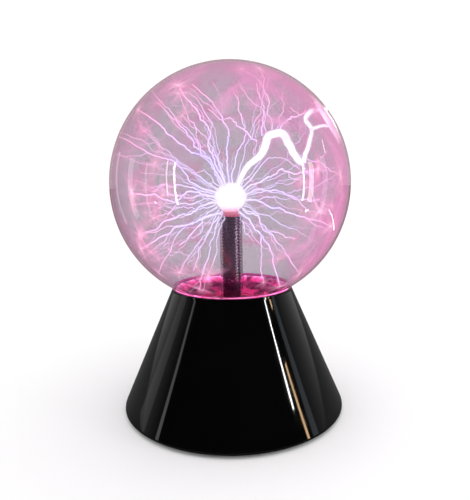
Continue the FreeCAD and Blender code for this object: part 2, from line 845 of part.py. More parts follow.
# ---------------------------------------------------------------- power inlet
def dc_jack():
    front = s.panel_face + s.jack_flange_thickness
    turned("dc_jack_body", [
        (s.pin_tail, s.jack_back),
        (s.jack_radius, s.jack_back),
        (s.jack_radius, s.panel_face),
        (s.jack_flange, s.panel_face),
        (s.jack_flange, front - 0.5),
        (s.jack_flange - 0.5, front),
        (s.jack_bore + 0.4, front),
        (s.jack_bore, front - 0.6),
        (s.jack_bore, s.jack_floor),
        (s.pin_tail, s.jack_floor),
    ], s.jack_x, 0, s.panel_axis, "y")
    turned("dc_jack_pin", [
        (0, s.jack_back - 3),
        (s.pin_tail, s.jack_back - 3),
        (s.pin_tail, s.jack_floor + 0.3),
        (s.pin_radius, s.jack_floor + 0.3),
        (s.pin_radius, s.panel_face + 0.2),
        (s.pin_radius * 0.5, s.panel_face + 0.8),
        (0, s.panel_face + 0.8),
    ], s.jack_x, 0, s.panel_axis, "y")
    leaf = box("dc_jack_contact", 1.4, 7, 0.3, s.jack_x, s.jack_floor + 4, s.panel_axis - 2.95)
    sub_part(leaf, "dc_jack_contact")
    blank = cylinder("jack_nut_blank", 5.4, 2, s.jack_x, panel_back - 2, s.panel_axis, "y")
    bore = cylinder("jack_nut_bore", s.jack_radius, 4, s.jack_x, panel_back - 3, s.panel_axis, "y")
    prism = doc.addObject("Part::Prism", "jack_nut_prism")
    prism.Polygon = 6
    bind(prism, "Circumradius", 5.7)
    bind(prism, "Height", 2)
    place(prism, s.jack_x, panel_back - 2, s.panel_axis, "y")
    hexagon = doc.addObject("Part::Common", "jack_nut_hexagon")
    hexagon.Base = blank
    hexagon.Tool = prism
    sub_part(cut("dc_jack_nut", hexagon, bore), "dc_jack_nut")


# ---------------------------------------------------------------- slide switch
def switch_slot():
    return (s.knob_half_width + s.knob_travel + 0.4) * 2


def switch_body():
    """A small case behind the panel, open at the front along the knob's travel."""
    depth = panel_back - s.switch_back
    case = box("switch_case", 19, depth, 8, s.switch_x, s.switch_back + depth / 2, s.panel_axis - 4)
    ears = box("switch_ears", 26, 1.2, 8, s.switch_x, panel_back - 0.6, s.panel_axis - 4)
    inner_depth = depth - 1.2 - 1.5
    hollow = box("switch_hollow", 13, inner_depth, 5.2,
                 s.switch_x, s.switch_back + 1.5 + inner_depth / 2, s.panel_axis - 2.6)
    slot_height = s.knob_half_height * 2 + 0.2
    slot = box("switch_slot", switch_slot(), 4, slot_height,
               s.switch_x, panel_back, s.panel_axis - slot_height / 2)
    holes = [hollow, slot]
    for side in (-1, 1):
        x = s.switch_x + s.switch_screw_x * side
        holes.append(cylinder("switch_ear_hole", 0.95, 4, x, panel_back - 3, s.panel_axis, "y"))
    solid = fuse("switch_solid", [case, ears])
    sub_part(cut("switch_body", solid, fuse("switch_holes", holes)), "switch_body")


def switch_fittings():
    blades = [
        box(f"switch_blade_{index}", 0.8, 5, 1.8, s.switch_x + x, s.switch_back - 2.5, s.panel_axis - 0.9)
        for index, x in enumerate((-3, 0, 3))
    ]
    sub_part(group("switch_terminals", blades), "switch_terminals")
    head_height = 1.1
    screws = []
    for side in (-1, 1):
        x = s.switch_x + s.switch_screw_x * side
        screws.append(screw(f"switch_screw_{side}", 1.6, head_height, 0.9, 4.5,
                            x, s.panel_face + head_height, s.panel_axis, "inwards"))
    sub_part(group("switch_screws", screws), "switch_screws")


def switch_knob():
    """The knob and the block that runs inside the case: these two pieces slide together."""
    block_front = panel_back - 1.3
    block_depth = 3.0
    length = s.knob_tip - block_front + block_depth
    width = s.knob_half_width * 2
    height = s.knob_half_height * 2
    stem = box("knob_stem", width, length, height,
               s.switch_x, block_front - block_depth + length / 2, s.panel_axis - s.knob_half_height)
    block = box("knob_block", 6.4, block_depth, 5,
                s.switch_x, block_front - block_depth / 2, s.panel_axis - 2.5)
    sub_part(fuse("switch_knob", [stem, block]), "switch_knob")
    wiper = box("switch_contact", 5.2, 1.6, 2.4,
                s.switch_x, block_front - block_depth - 0.8, s.panel_axis - 1.2)
    sub_part(wiper, "switch_contact")


globe_glass()
stem_glass()
exhaust_tip()
electrode_filling()
stem_sleeve()
stem_plug()
hv_lead()
seat_dish()
dish_screws()
globe_gasket()
neck_sealant()
neck_clamp_ring()
clamp_screws()
base_cone()
rear_panel()
bottom_cover()
cover_screws()
rubber_feet()
driver_board()
board_screws()
ferrite_core()
transformer_coils()
heat_sink()
power_transistor()
board_components()
leads()
dc_jack()
switch_body()
switch_fittings()
switch_knob()

doc.recompute()
for thing in doc.Objects:
    if "Invalid" in thing.State or "Error" in thing.State:
        raise RuntimeError(f"{thing.Label} did not build: {thing.State}")
for piece in sub_parts:
    if piece.Shape.isNull() or not piece.Shape.isValid():
        raise RuntimeError(f"{piece.Label} has no valid shape")
os.makedirs("parts", exist_ok=True)
for piece in sub_parts:
    piece.Shape.exportStep(f"parts/{piece.Label}.step")
    print(f"{piece.Label}: {piece.Shape.Volume:.0f} mm3")
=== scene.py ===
import json
import math
import random

import bmesh
import bpy
from mathutils import Matrix, Quaternion, Vector, noise


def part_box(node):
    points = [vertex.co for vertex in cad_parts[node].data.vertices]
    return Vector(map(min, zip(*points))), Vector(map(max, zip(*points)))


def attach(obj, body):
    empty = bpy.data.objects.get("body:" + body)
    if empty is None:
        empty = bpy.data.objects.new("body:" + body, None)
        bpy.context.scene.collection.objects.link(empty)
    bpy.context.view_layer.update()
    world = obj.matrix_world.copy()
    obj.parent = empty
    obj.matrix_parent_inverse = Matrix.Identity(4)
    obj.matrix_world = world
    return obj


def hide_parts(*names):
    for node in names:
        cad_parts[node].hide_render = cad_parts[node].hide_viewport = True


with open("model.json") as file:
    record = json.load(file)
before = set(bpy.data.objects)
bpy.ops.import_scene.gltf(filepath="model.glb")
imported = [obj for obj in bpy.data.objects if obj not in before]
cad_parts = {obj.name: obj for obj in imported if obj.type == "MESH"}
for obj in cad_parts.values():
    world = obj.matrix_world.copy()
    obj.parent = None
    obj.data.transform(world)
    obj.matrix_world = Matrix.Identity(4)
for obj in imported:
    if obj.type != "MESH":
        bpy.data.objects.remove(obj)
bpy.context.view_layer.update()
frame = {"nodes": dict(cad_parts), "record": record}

NODES = frame["nodes"]
MM = 0.001

# ---- places, from the frame
globe_low, globe_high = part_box("globe_glass")
GLOBE_RADIUS = min(globe_high.x, -globe_low.x, globe_high.y, -globe_low.y)
# Drawn thinner than the real 2 mm wall, so that the wall seen edge on stays a fine line.
GLOBE_WALL = 0.7 * MM
INSIDE_RADIUS = GLOBE_RADIUS - GLOBE_WALL
CENTRE = Vector((0, 0, globe_high.z - GLOBE_RADIUS))
NECK_RADIUS = 16 * MM
NECK_BOTTOM = globe_low.z
stem_low, stem_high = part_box("stem_glass")
STEM_RADIUS = 8.6 * MM
STEM_WALL = 1 * MM
BULB_RADIUS = 12 * MM
BULB = Vector((0, 0, stem_high.z - BULB_RADIUS))
SLEEVE_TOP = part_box("stem_sleeve")[1].z
DISH_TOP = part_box("seat_dish")[1].z
base_low, base_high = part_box("base_cone")
BASE_RADIUS = base_high.x
# Where the cone's flank ends and its rounded lip begins.
SHOULDER_RADIUS = 46.1 * MM
SHOULDER = 93.4 * MM


# ---- camera
CAMERA_DISTANCE = 4.195 * GLOBE_RADIUS
CAMERA_RISE = 0.0685 * GLOBE_RADIUS
CAMERA_PITCH = math.radians(8.51)
CAMERA_YAW = math.radians(0.43)
CAMERA_ROLL = math.radians(-0.9)
CAMERA_LENS = 35.18
SENSOR = 36.0


def add_camera():
    data = bpy.data.cameras.new("camera")
    data.lens = CAMERA_LENS
    data.sensor_fit = "VERTICAL"
    data.sensor_height = SENSOR
    data.clip_start = 0.01
    camera = bpy.data.objects.new("camera", data)
    forward = Vector((
        math.sin(CAMERA_YAW) * math.cos(CAMERA_PITCH),
        math.cos(CAMERA_YAW) * math.cos(CAMERA_PITCH),
        -math.sin(CAMERA_PITCH),
    ))
    turn = forward.to_track_quat("-Z", "Y") @ Quaternion((0, 0, 1), CAMERA_ROLL)
    place = CENTRE + Vector((0, -CAMERA_DISTANCE, CAMERA_RISE))
    camera.matrix_world = Matrix.Translation(place) @ turn.to_matrix().to_4x4()
    bpy.context.collection.objects.link(camera)
    bpy.context.scene.camera = camera


# ---- material helpers
class Graph:
    """The nodes of a material, or of the world, under construction."""

    def __init__(self, name, owners=bpy.data.materials, output="OutputMaterial"):
        self.owner = owners.new(name)
        self.owner.use_nodes = True
        self.tree = self.owner.node_tree
        self.tree.nodes.clear()
        self.output = self.tree.nodes.new(f"ShaderNode{output}")

    def node(self, kind, settings=None, **inputs):
        made = self.tree.nodes.new(f"ShaderNode{kind}")
        for key, value in (settings or {}).items():
            setattr(made, key, value)
        for key, value in inputs.items():
            self.feed(made.inputs[key.replace("_", " ")], value)
        return made

    def feed(self, socket, value):
        if isinstance(value, bpy.types.NodeSocket):
            self.tree.links.new(value, socket)
        else:
            socket.default_value = value

    def math(self, operation, first, second=0.0, clamp=False):
        made = self.node("Math", {"operation": operation, "use_clamp": clamp})
        self.feed(made.inputs[0], first)
        self.feed(made.inputs[1], second)
        return made.outputs[0]

    def times(self, first, second, clamp=False):
        return self.math("MULTIPLY", first, second, clamp)

    def place(self):
        """Position on the piece, in metres."""
        return self.node("TexCoord").outputs["Object"]

    def axes(self, place):
        return self.node("SeparateXYZ", Vector=place).outputs

    def length(self, x=0.0, y=0.0, z=0.0):
        """The length of a vector given by its parts, such as the distance from the Z axis."""
        vector = self.node("CombineXYZ", X=x, Y=y, Z=z).outputs[0]
        return self.node("VectorMath", {"operation": "LENGTH"}, Vector=vector).outputs["Value"]

    def distance(self, place, point):
        made = self.node("VectorMath", {"operation": "DISTANCE"})
        self.feed(made.inputs[0], place)
        made.inputs[1].default_value = point
        return made.outputs["Value"]

    def facing(self):
        """0 where a surface is seen straight on, 1 where it is seen edge on."""
        return self.node("LayerWeight", Blend=0.5).outputs["Facing"]

    def noise(self, scale, detail=3.0, vector=None, distortion=0.0):
        made = self.node("TexNoise", Scale=scale, Detail=detail, Distortion=distortion)
        self.feed(made.inputs["Vector"], vector if vector is not None else self.place())
        return made.outputs["Fac"]

    def span(self, value, low, high, to_low=0.0, to_high=1.0):
        """The value, mapped from one range to another and held inside it."""
        made = self.node("MapRange", Value=value, From_Min=low, From_Max=high,
                         To_Min=to_low, To_Max=to_high)
        return made.outputs["Result"]

    def ramp(self, value, stops):
        made = self.node("ValToRGB", Fac=value)
        ramp = made.color_ramp
        while len(ramp.elements) < len(stops):
            ramp.elements.new(0.5)
        for element, (position, color) in zip(ramp.elements, stops):
            element.position = position
            element.color = (*color, 1)
        return made.outputs["Color"]

    def bump(self, height, strength, distance, normal=None):
        made = self.node("Bump", Height=height, Strength=strength, Distance=distance)
        if normal is not None:
            self.feed(made.inputs["Normal"], normal)
        return made.outputs["Normal"]

    def mix(self, factor, first, second):
        made = self.node("MixShader")
        self.feed(made.inputs[0], factor)
        self.feed(made.inputs[1], first)
        self.feed(made.inputs[2], second)
        return made.outputs[0]

    def done(self, shader):
        self.feed(self.output.inputs["Surface"], shader)
        return self.owner

    def glowing(self, share, color, strength):
        """Finish as light that covers a share of the surface, which is clear elsewhere."""
        glow = self.node("Emission", Color=color, Strength=strength)
        clear = self.node("BsdfTransparent", Color=(1, 1, 1, 1))
        return self.done(self.mix(share, clear.outputs[0], glow.outputs[0]))


SOFT_EDGE = 0.25 * MM
GLASS_IOR = 1.47


def moulded(name, color, roughness, grain=400.0, depth=0.02, variation=0.25, **extra):
    """A solid surface with fine grain, slight colour and gloss variation, and edges that catch the
    light. The grain's depth is in mm."""
    g = Graph(name)
    place = g.place()
    broad = g.noise(35, 4, place)
    fine = g.noise(grain, 3, place)
    dark = tuple(channel * (1 - variation) for channel in color)
    light = tuple(min(1, channel * (1 + variation) + 0.003) for channel in color)
    shade = g.ramp(broad, [(0.3, dark), (0.7, light)])
    gloss = g.span(g.noise(90, 5, place), 0.3, 0.7, roughness * 0.85, min(1, roughness * 1.2))
    edge = g.node("Bevel", {"samples": 4}, Radius=SOFT_EDGE).outputs["Normal"]
    normal = g.bump(fine, 0.6, depth * MM, edge)
    shader = g.node("BsdfPrincipled", Base_Color=shade, Roughness=gloss, Normal=normal, **extra)
    return g.done(shader.outputs[0])


def brushed(name, color, roughness):
    """Turned or plated metal with fine lines round it."""
    g = Graph(name)
    place = g.place()
    stretched = g.node("Mapping", Vector=place, Scale=(1, 1, 14)).outputs[0]
    lines = g.noise(900, 2, stretched)
    shade = g.ramp(g.noise(60, 4, place), [(0.3, tuple(c * 0.75 for c in color)), (0.7, color)])
    gloss = g.span(lines, 0.3, 0.7, roughness * 0.8, roughness * 1.3)
    normal = g.bump(lines, 0.4, 0.01 * MM)
    shader = g.node("BsdfPrincipled", Base_Color=shade, Roughness=gloss, Metallic=1.0, Normal=normal)
    return g.done(shader.outputs[0])


def lit_glass(name, tint, ripple, sheen=(1, 1, 1), roughness=0.0, edge_light=None):
    """Clear glass that lets lamps through, with a slight ripple, its depth in mm, and faint smears.
    Light caught in the wall shows where the wall is seen edge on."""
    g = Graph(name)
    place = g.place()
    normal = g.bump(g.noise(12, 1, place), 0.5, ripple * MM)
    smear = g.span(g.noise(22, 5, place, distortion=1.5), 0.5, 0.8, roughness, roughness + 0.03)
    glass = g.node("BsdfPrincipled", Base_Color=(*tint, 1), Roughness=smear, IOR=GLASS_IOR,
                   Transmission_Weight=1.0, Normal=normal, Specular_Tint=(*sheen, 1))
    if edge_light:
        glass.inputs["Emission Color"].default_value = (*edge_light, 1)
        g.feed(glass.inputs["Emission Strength"], g.span(g.facing(), 0.84, 0.96))
    clear = g.node("BsdfTransparent", Color=(*tint, 1))
    shadow = g.node("LightPath").outputs["Is Shadow Ray"]
    return g.done(g.mix(shadow, glass.outputs[0], clear.outputs[0]))


def discharge_material(name, stops, strength, fade, solid):
    """Glowing gas: a thread that is bright along its middle and clear at its edges, with colours
    by distance from the bulb."""
    g = Graph(name)
    place = g.place()
    outwards = g.span(g.distance(place, BULB), BULB_RADIUS, INSIDE_RADIUS + 8 * MM)
    middle = g.math("POWER", g.math("SUBTRACT", 1.0, g.facing()), fade)
    weight = g.node("Attribute", {"attribute_name": "weight"}).outputs["Fac"]
    uneven = g.span(g.noise(60, 3, place), 0.38, 0.62, 0.6 * solid, 1.15 * solid)
    share = g.times(g.times(middle, weight), uneven, clamp=True)
    return g.glowing(share, g.ramp(outwards, stops), strength)


# ---- mesh helpers
def add_piece(name, mesh, material, replaced=(), body="base"):
    """Put a mesh on a body, in place of the CAD nodes it replaces."""
    piece = bpy.data.objects.new(name, mesh)
    bpy.context.collection.objects.link(piece)
    mesh.materials.append(material)
    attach(piece, body)
    if replaced:
        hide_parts(*replaced)
    return piece


def to_mesh(bm, name):
    mesh = bpy.data.meshes.new(name)
    bm.to_mesh(mesh)
    bm.free()
    return mesh


def finish_mesh(bm, name, sharp=35):
    """Smooth shading with edges kept crisp where faces turn by more than the angle, in degrees."""
    bmesh.ops.recalc_face_normals(bm, faces=bm.faces)
    for face in bm.faces:
        face.smooth = True
    for edge in bm.edges:
        edge.smooth = not (len(edge.link_faces) == 2 and edge.calc_face_angle(0) > math.radians(sharp))
    return to_mesh(bm, name)


def rounded(corners, steps=6):
    """An outline of (radius, height, fillet) corners in mm, with each fillet as an arc, in metres."""
    result = []
    count = len(corners)
    for index, (x, z, fillet) in enumerate(corners):
        here = Vector((x, z))
        if not fillet:
            result.append(here * MM)
            continue
        before = (Vector(corners[index - 1][:2]) - here).normalized()
        after = (Vector(corners[(index + 1) % count][:2]) - here).normalized()
        half = before.angle(after) / 2
        reach = fillet / math.tan(half)
        middle = (before + after).normalized() * (fillet / math.sin(half))
        centre = here + middle
        start = here + before * reach - centre
        end = here + after * reach - centre
        turn = start.angle_signed(end)
        for step in range(steps + 1):
            angle = -turn * step / steps
            spoke = Vector((start.x * math.cos(angle) - start.y * math.sin(angle),
                            start.x * math.sin(angle) + start.y * math.cos(angle)))
            result.append((centre + spoke) * MM)
    return result


def arc(centre_height, radius, start, end, steps):
    """Points on a circle round the axis, by elevation in degrees, in metres."""
    points = []
    for step in range(steps + 1):
        angle = math.radians(start + (end - start) * step / steps)
        across = max(0.0, radius * math.cos(angle))
        points.append(Vector((across, centre_height + radius * math.sin(angle))))
    return points


def elevation_of_tube(tube_radius, ball_radius):
    """The elevation in degrees, below the middle, at which a tube meets a ball."""
    return math.degrees(math.asin(-math.sqrt(1 - (tube_radius / ball_radius) ** 2)))


ON_AXIS = 1e-7


def revolve(name, outline, segments=192, closed=True):
    """Turn an outline of (radius, height) points round the Z axis."""
    bm = bmesh.new()
    rings = []
    for point in outline:
        if point.x < ON_AXIS:
            rings.append([bm.verts.new((0, 0, point.y))])
            continue
        ring = []
        for index in range(segments):
            angle = 2 * math.pi * index / segments
            ring.append(bm.verts.new((point.x * math.cos(angle), point.x * math.sin(angle), point.y)))
        rings.append(ring)
    pairs = list(zip(rings, rings[1:]))
    if closed:
        pairs.append((rings[-1], rings[0]))
    for low, high in pairs:
        for index in range(segments):
            following = (index + 1) % segments
            if len(low) > 1 and len(high) > 1:
                bm.faces.new((low[index], low[following], high[following], high[index]))
            elif len(low) > 1:
                bm.faces.new((low[index], low[following], high[0]))
            elif len(high) > 1:
                bm.faces.new((low[0], high[following], high[index]))
    return finish_mesh(bm, name)


# ---- glass
GLOBE_TINT = (0.97, 0.93, 0.96)
GLOBE_SHEEN = (0.95, 0.62, 0.84)
GLOBE_EDGE_LIGHT = (0.30, 0.06, 0.15)
STEM_TINT = (0.97, 0.96, 0.97)
STEM_SHEEN = (1, 0.9, 0.97)
WOOL_RADIUS = 10.2 * MM
WOOL_FUZZ = 0.35 * MM
WOOL_BOTTOM = BULB.z - 9.3 * MM
HAZE_RADIUS = 36 * MM
GAS_RADIUS = INSIDE_RADIUS - 0.9 * MM
LANDING = CENTRE + Vector((68, -32, 45)) * MM


def add_globe():
    bore = NECK_RADIUS - GLOBE_WALL
    outside = arc(CENTRE.z, GLOBE_RADIUS, elevation_of_tube(NECK_RADIUS, GLOBE_RADIUS), 90, 96)
    inside = arc(CENTRE.z, INSIDE_RADIUS, 90, elevation_of_tube(bore, INSIDE_RADIUS), 96)
    outline = [Vector((NECK_RADIUS, NECK_BOTTOM)), *outside, *inside, Vector((bore, NECK_BOTTOM))]
    glass = lit_glass("globe_glass_clear", GLOBE_TINT, 0.01, GLOBE_SHEEN, 0.0, GLOBE_EDGE_LIGHT)
    return add_piece("globe", revolve("globe", outline), glass, ["globe_glass"])


def add_stem():
    """The stem tube with its flare below and its bulb on top."""
    bore = STEM_RADIUS - STEM_WALL
    inner_bulb = BULB_RADIUS - STEM_WALL
    flare = stem_low.z + 1.2 * MM
    outline = [
        Vector((bore, stem_low.z)),
        Vector((NECK_RADIUS, stem_low.z)),
        Vector((NECK_RADIUS, flare)),
        Vector((STEM_RADIUS + 2 * MM, flare)),
        Vector((STEM_RADIUS + 0.6 * MM, flare + 0.6 * MM)),
        Vector((STEM_RADIUS, flare + 2 * MM)),
        Vector((STEM_RADIUS, flare + 3 * MM)),
        Vector((STEM_RADIUS, SLEEVE_TOP)),
    ]
    outline += arc(BULB.z, BULB_RADIUS, elevation_of_tube(STEM_RADIUS, BULB_RADIUS), 90, 40)
    outline += arc(BULB.z, inner_bulb, elevation_of_tube(bore, inner_bulb), 90, 40)[::-1]
    glass = lit_glass("stem_glass_clear", STEM_TINT, 0.006, STEM_SHEEN, 0.05)
    add_piece("stem", revolve("stem", outline, 96), glass, ["stem_glass"])


def wool_material():
    """White above and pink where the stem begins."""
    g = Graph("glowing_wool")
    height = g.axes(g.place())["Z"]
    level = g.span(height, WOOL_BOTTOM, BULB.z + 10 * MM)
    tone = g.ramp(level, [
        (0.0, (1.0, 0.30, 0.42)),
        (0.18, (1.0, 0.62, 0.76)),
        (0.42, (1.0, 0.93, 0.98)),
        (0.7, (1, 1, 1)),
    ])
    fibre = g.span(g.noise(1500, 4), 0.3, 0.7, 1.7, 2.5)
    return g.done(g.node("Emission", Color=tone, Strength=fibre).outputs[0])


def add_filling():
    """The glowing wool in the bulb."""
    bm = bmesh.new()
    bmesh.ops.create_icosphere(bm, subdivisions=6, radius=1)
    for vertex in bm.verts:
        direction = vertex.co.normalized()
        fibre = noise.fractal(direction * 9, 0.8, 2.2, 4)
        vertex.co = BULB + direction * (WOOL_RADIUS + WOOL_FUZZ * fibre)
        vertex.co.z = max(vertex.co.z, WOOL_BOTTOM)
    mesh = finish_mesh(bm, "electrode_wool", 80)
    add_piece("electrode_wool", mesh, wool_material(), ["electrode_filling"])


def add_halo(name, radius, lowest, fade, color, strength, level_of):
    """A shell of light round the bulb, brightest in its middle; level_of gives its share."""
    g = Graph(name)
    middle = g.math("POWER", g.math("SUBTRACT", 1.0, g.facing()), fade)
    share = g.times(middle, level_of(g), clamp=True)
    mesh = revolve(name, arc(BULB.z, radius, lowest, 90, 48), 96, closed=False)
    add_piece(name, mesh, g.glowing(share, (*color, 1), strength))


def add_electrode_glow():
    """The bright gas round the bulb, a faint haze further out, and the light in the stem's top."""
    def fades_below(g):
        return g.span(g.axes(g.place())["Z"], BULB.z - 8 * MM, BULB.z + 1 * MM, 0.05, 1.25)

    def thin_clouds(g):
        return g.span(g.noise(40, 3), 0.35, 0.65, 0.006, 0.03)

    add_halo("electrode_glow", BULB_RADIUS + 0.9 * MM, -52, 1.3, (1.0, 0.95, 1.0), 2.2, fades_below)
    add_halo("inner_haze", HAZE_RADIUS, -75, 3.0, (0.80, 0.68, 1.0), 1.6, thin_clouds)
    add_stem_glow()


def add_stem_glow():
    """A ring of red-pink light inside the stem, from the sleeve's top up to the bulb."""
    g = Graph("stem_glow")
    level = g.span(g.axes(g.place())["Z"], SLEEVE_TOP, SLEEVE_TOP + 5 * MM)
    tone = g.ramp(level, [(0.0, (0.75, 0.10, 0.20)), (0.5, (1.0, 0.28, 0.42)), (1.0, (1.0, 0.6, 0.72))])
    glow = g.node("Emission", Color=tone, Strength=g.span(g.noise(400, 3), 0.3, 0.7, 0.8, 1.1))
    inner, outer = 1.6, 6.9
    low, top = SLEEVE_TOP / MM + 0.1, 152.1
    outline = rounded([(inner, low, 0), (outer, low, 0.6), (outer, top, 0.6), (inner, top, 0)])
    mesh = revolve("stem_glow", outline, 64)
    add_piece("stem_glow", mesh, g.done(glow.outputs[0]))


def gas_share(g, place, rim, landing):
    """How much of the gas glows: most at the rim, in patches on the wall and where the bolt lands,
    more to the right than to the left, and not in front of the dish."""
    axes = g.axes(place)
    above_bulb = g.math("SUBTRACT", axes["Z"], BULB.z)
    outer = g.span(g.length(x=axes["X"], z=above_bulb), 30 * MM, 60 * MM)
    cloud = g.span(g.noise(20, 5, place, distortion=1.4), 0.48, 0.66, 0.0, 0.75)
    patches = g.times(cloud, outer)
    above_dish = g.span(axes["Z"], CENTRE.z - 58 * MM, CENTRE.z - 38 * MM)
    beside_dish = g.span(g.math("ABSOLUTE", axes["X"]), 36 * MM, 58 * MM)
    clear_of_dish = g.math("MAXIMUM", above_dish, beside_dish)
    lean = g.span(axes["X"], -74 * MM, 74 * MM, 0.2, 1.35)
    rim_share = g.times(g.times(rim, 0.9), g.times(clear_of_dish, lean))
    wisps = g.math("ADD", g.times(patches, lean), 0.012)
    soft = g.math("ADD", rim_share, g.times(wisps, clear_of_dish), clamp=True)
    return g.math("MAXIMUM", soft, landing)


def add_gas():
    """The glow that fills the globe, as a layer just inside its wall, whose grey see-through colour darkens
    what is behind it as painted shade.
    """
    g = Graph("gas_glow")
    place = g.place()
    rim = g.math("POWER", g.facing(), 2.1)
    landing = g.span(g.distance(place, LANDING), 6 * MM, 20 * MM, 0.92, 0.0)
    share = gas_share(g, place, rim, landing)
    tone = g.ramp(rim, [(0.0, (1.0, 0.48, 0.78)), (0.5, (1.0, 0.36, 0.68))])
    glow = g.node("Emission", Color=tone, Strength=g.span(landing, 0.15, 0.9, 1.0, 3.6))
    # Painted shade: a grey see-through veil that darkens everything seen through the gas.
    painted_shade_veil = g.node("BsdfTransparent", Color=(0.72, 0.69, 0.73, 1))
    mesh = revolve("gas_glow", arc(CENTRE.z, GAS_RADIUS, -79, 90, 96), 128, closed=False)
    material = g.done(g.mix(share, painted_shade_veil.outputs[0], glow.outputs[0]))
    add_piece("gas_glow", mesh, material)


# ---- discharge
# All of this section is in mm from the globe's centre, until the meshes are made.
WALL = (INSIDE_RADIUS - 0.5 * MM) / MM
BULB_PLACE = (BULB - CENTRE) / MM
BULB_SIZE = BULB_RADIUS / MM
FAINT_STRANDS = 40
CORE_COLORS = [
    (0.0, (0.86, 0.82, 1.0)),
    (0.35, (0.80, 0.71, 1.0)),
    (0.7, (0.95, 0.64, 0.93)),
    (1.0, (1.0, 0.50, 0.76)),
]
SHEATH_COLORS = [
    (0.0, (0.72, 0.64, 1.0)),
    (0.3, (0.60, 0.48, 1.0)),
    (0.6, (0.86, 0.52, 0.96)),
    (0.85, (1.0, 0.36, 0.62)),
    (1.0, (1.0, 0.22, 0.48)),
]
BOLT_COLORS = [(0.0, (1, 1, 1)), (1.0, (1.0, 0.95, 1.0))]
BOLT_SHEATH_COLORS = [(0.0, (0.86, 0.76, 1.0)), (0.6, (0.92, 0.76, 1.0)), (1.0, (1.0, 0.70, 0.92))]
FOOT_COLORS = [(0.1, (1.0, 0.36, 0.62)), (0.8, (1.0, 0.84, 0.95))]
# Each strand: side of the globe (-1 front, 1 back), weight, and its course seen from the front as
# (x, z). It starts on the bulb and ends on the wall.
STRANDS = [
    (-1, 1.0, [(-13, 14), (-18, 22), (-26, 25), (-35, 32), (-48, 42), (-60, 51)]),
    (1, 0.8, [(-16, 18), (-26, 28), (-30, 37), (-39, 48), (-47, 56), (-55, 64)]),
    (-1, 1.0, [(-9, 15), (-14, 27), (-15, 38), (-20, 47), (-26, 55), (-32, 64)]),
    (1, 0.5, [(-10, 22), (-14, 38), (-15, 50), (-22, 62)]),
    (1, 0.9, [(-2, 16), (-1, 34), (-3, 46), (-9, 58), (-19, 70), (-29, 79)]),
    (-1, 0.8, [(-22, 0), (-29, 5), (-38, 15), (-58, 25), (-77, 35)]),
    (1, 0.9, [(-26, -2), (-42, 0), (-56, -1), (-68, -6)]),
    (1, 0.4, [(-31, 0), (-42, 5), (-55, 8), (-76, 11)]),
    (-1, 1.1, [(-22, -7), (-29, -5), (-37, -9), (-47, -6), (-62, -3)]),
    (-1, 0.9, [(-22, -15), (-35, -21), (-46, -25), (-59, -30)]),
    (1, 0.6, [(-18, -16), (-32, -22), (-43, -28), (-57, -30)]),
    (-1, 1.0, [(-8, -21), (-21, -25), (-36, -28), (-46, -33), (-60, -40)]),
    (1, 0.8, [(-12, -22), (-20, -28), (-27, -36), (-35, -44), (-46, -53)]),
    (-1, 0.5, [(-12, -26), (-19, -34), (-28, -46), (-34, -55)]),
    (-1, 0.5, [(-30, -27), (-36, -33), (-43, -43), (-50, -58)]),
    (1, 0.7, [(-11, -26), (-18, -38), (-24, -50), (-33, -73)]),
    (-1, 0.5, [(-7, -30), (-11, -44), (-15, -56)]),
    (-1, 0.5, [(-10, -30), (-15, -45), (-20, -60), (-22, -68)]),
    (-1, 1.0, [(8, -22), (14, -26), (21, -36), (26, -44), (29, -55), (33, -69)]),
    (1, 0.7, [(12, -18), (20, -25), (31, -36), (43, -43), (56, -48)]),
    (-1, 0.7, [(12, -20), (18, -24), (27, -35), (37, -45), (46, -60)]),
    (-1, 1.0, [(20, -12), (31, -18), (42, -20), (53, -23), (66, -27)]),
    (1, 1.0, [(20, -5), (34, -5), (46, -10), (62, -14), (76, -14)]),
    (-1, 0.9, [(15, -2), (26, 5), (34, 9), (42, 8), (54, 10)]),
    (1, 0.5, [(13, 4), (22, 16), (25, 28), (32, 44)]),
    (1, 0.6, [(14, 2), (30, 20), (43, 20), (55, 14), (73, 4)]),
    (1, 0.7, [(3, 12), (4, 20), (12, 38), (8, 60), (4, 76)]),
    (1, 0.6, [(-4, -4), (-14, 4), (-20, 12), (-34, 10)]),
    (1, 0.6, [(4, -4), (10, 2), (18, 4), (26, -6)]),
    (1, 0.6, [(2, -20), (8, -28), (12, -40), (20, -52)]),
    (1, 0.6, [(-3, 0), (-6, 12), (-16, 30), (-28, 34)]),
]
# Strands that leave the main bolt, by the point they start from.
BRANCHES = [
    (1, 0.8, (20, -5, 32), [(9, 43), (3, 50), (-8, 56), (-18, 64)]),
    (1, 0.9, (24, -6, 36), [(25, 46), (26, 60), (22, 80)]),
    (-1, 0.7, (31, -8, 40), [(30, 46), (27, 58), (23, 70), (20, 76)]),
    (1, 0.5, (27, -8, 38), [(25, 52), (14, 68), (8, 80)]),
    (1, 1.0, (37, -8, 40), [(45, 48), (56, 55), (61, 58)]),
    (1, 0.6, (35, -8, 41), [(39, 51), (42, 61), (43, 70)]),
    (-1, 0.7, (54, -9, 16), [(56, 4), (55, -4), (56, -16)]),
    (-1, 0.6, (46, -8, 24), [(54, 20), (62, 14), (72, 6)]),
]
# The thick bolt as (x, y, z): from the bulb to a knee, then up to the wall in two ends. TOUCH is
# the line of light where it lands.
BOLT = [
    (5, -2, -1), (11, -4, 11), (18, -5, 18), (24, -6, 24), (27, -7, 31), (30, -8, 36),
    (38, -8, 37), (42, -8, 31), (47, -9, 23), (51, -9, 17), (54, -9, 16),
]
BOLT_RISE = [
    (54, -9, 16), (56, -10, 24), (58, -12, 33), (59, -14, 39), (54.5, -17, 45), (56, -20, 50),
    (61, -25, 51.5), (66, -30, 49.5),
]
BOLT_FORK = [(59, -14, 39), (63, -19, 40), (67, -24, 40), (70, -30, 40)]
TOUCH = [(59, -32, 57), (63, -32, 52.5), (67, -32, 47), (71, -32, 41), (74, -32, 34.5), (77, -32, 28)]
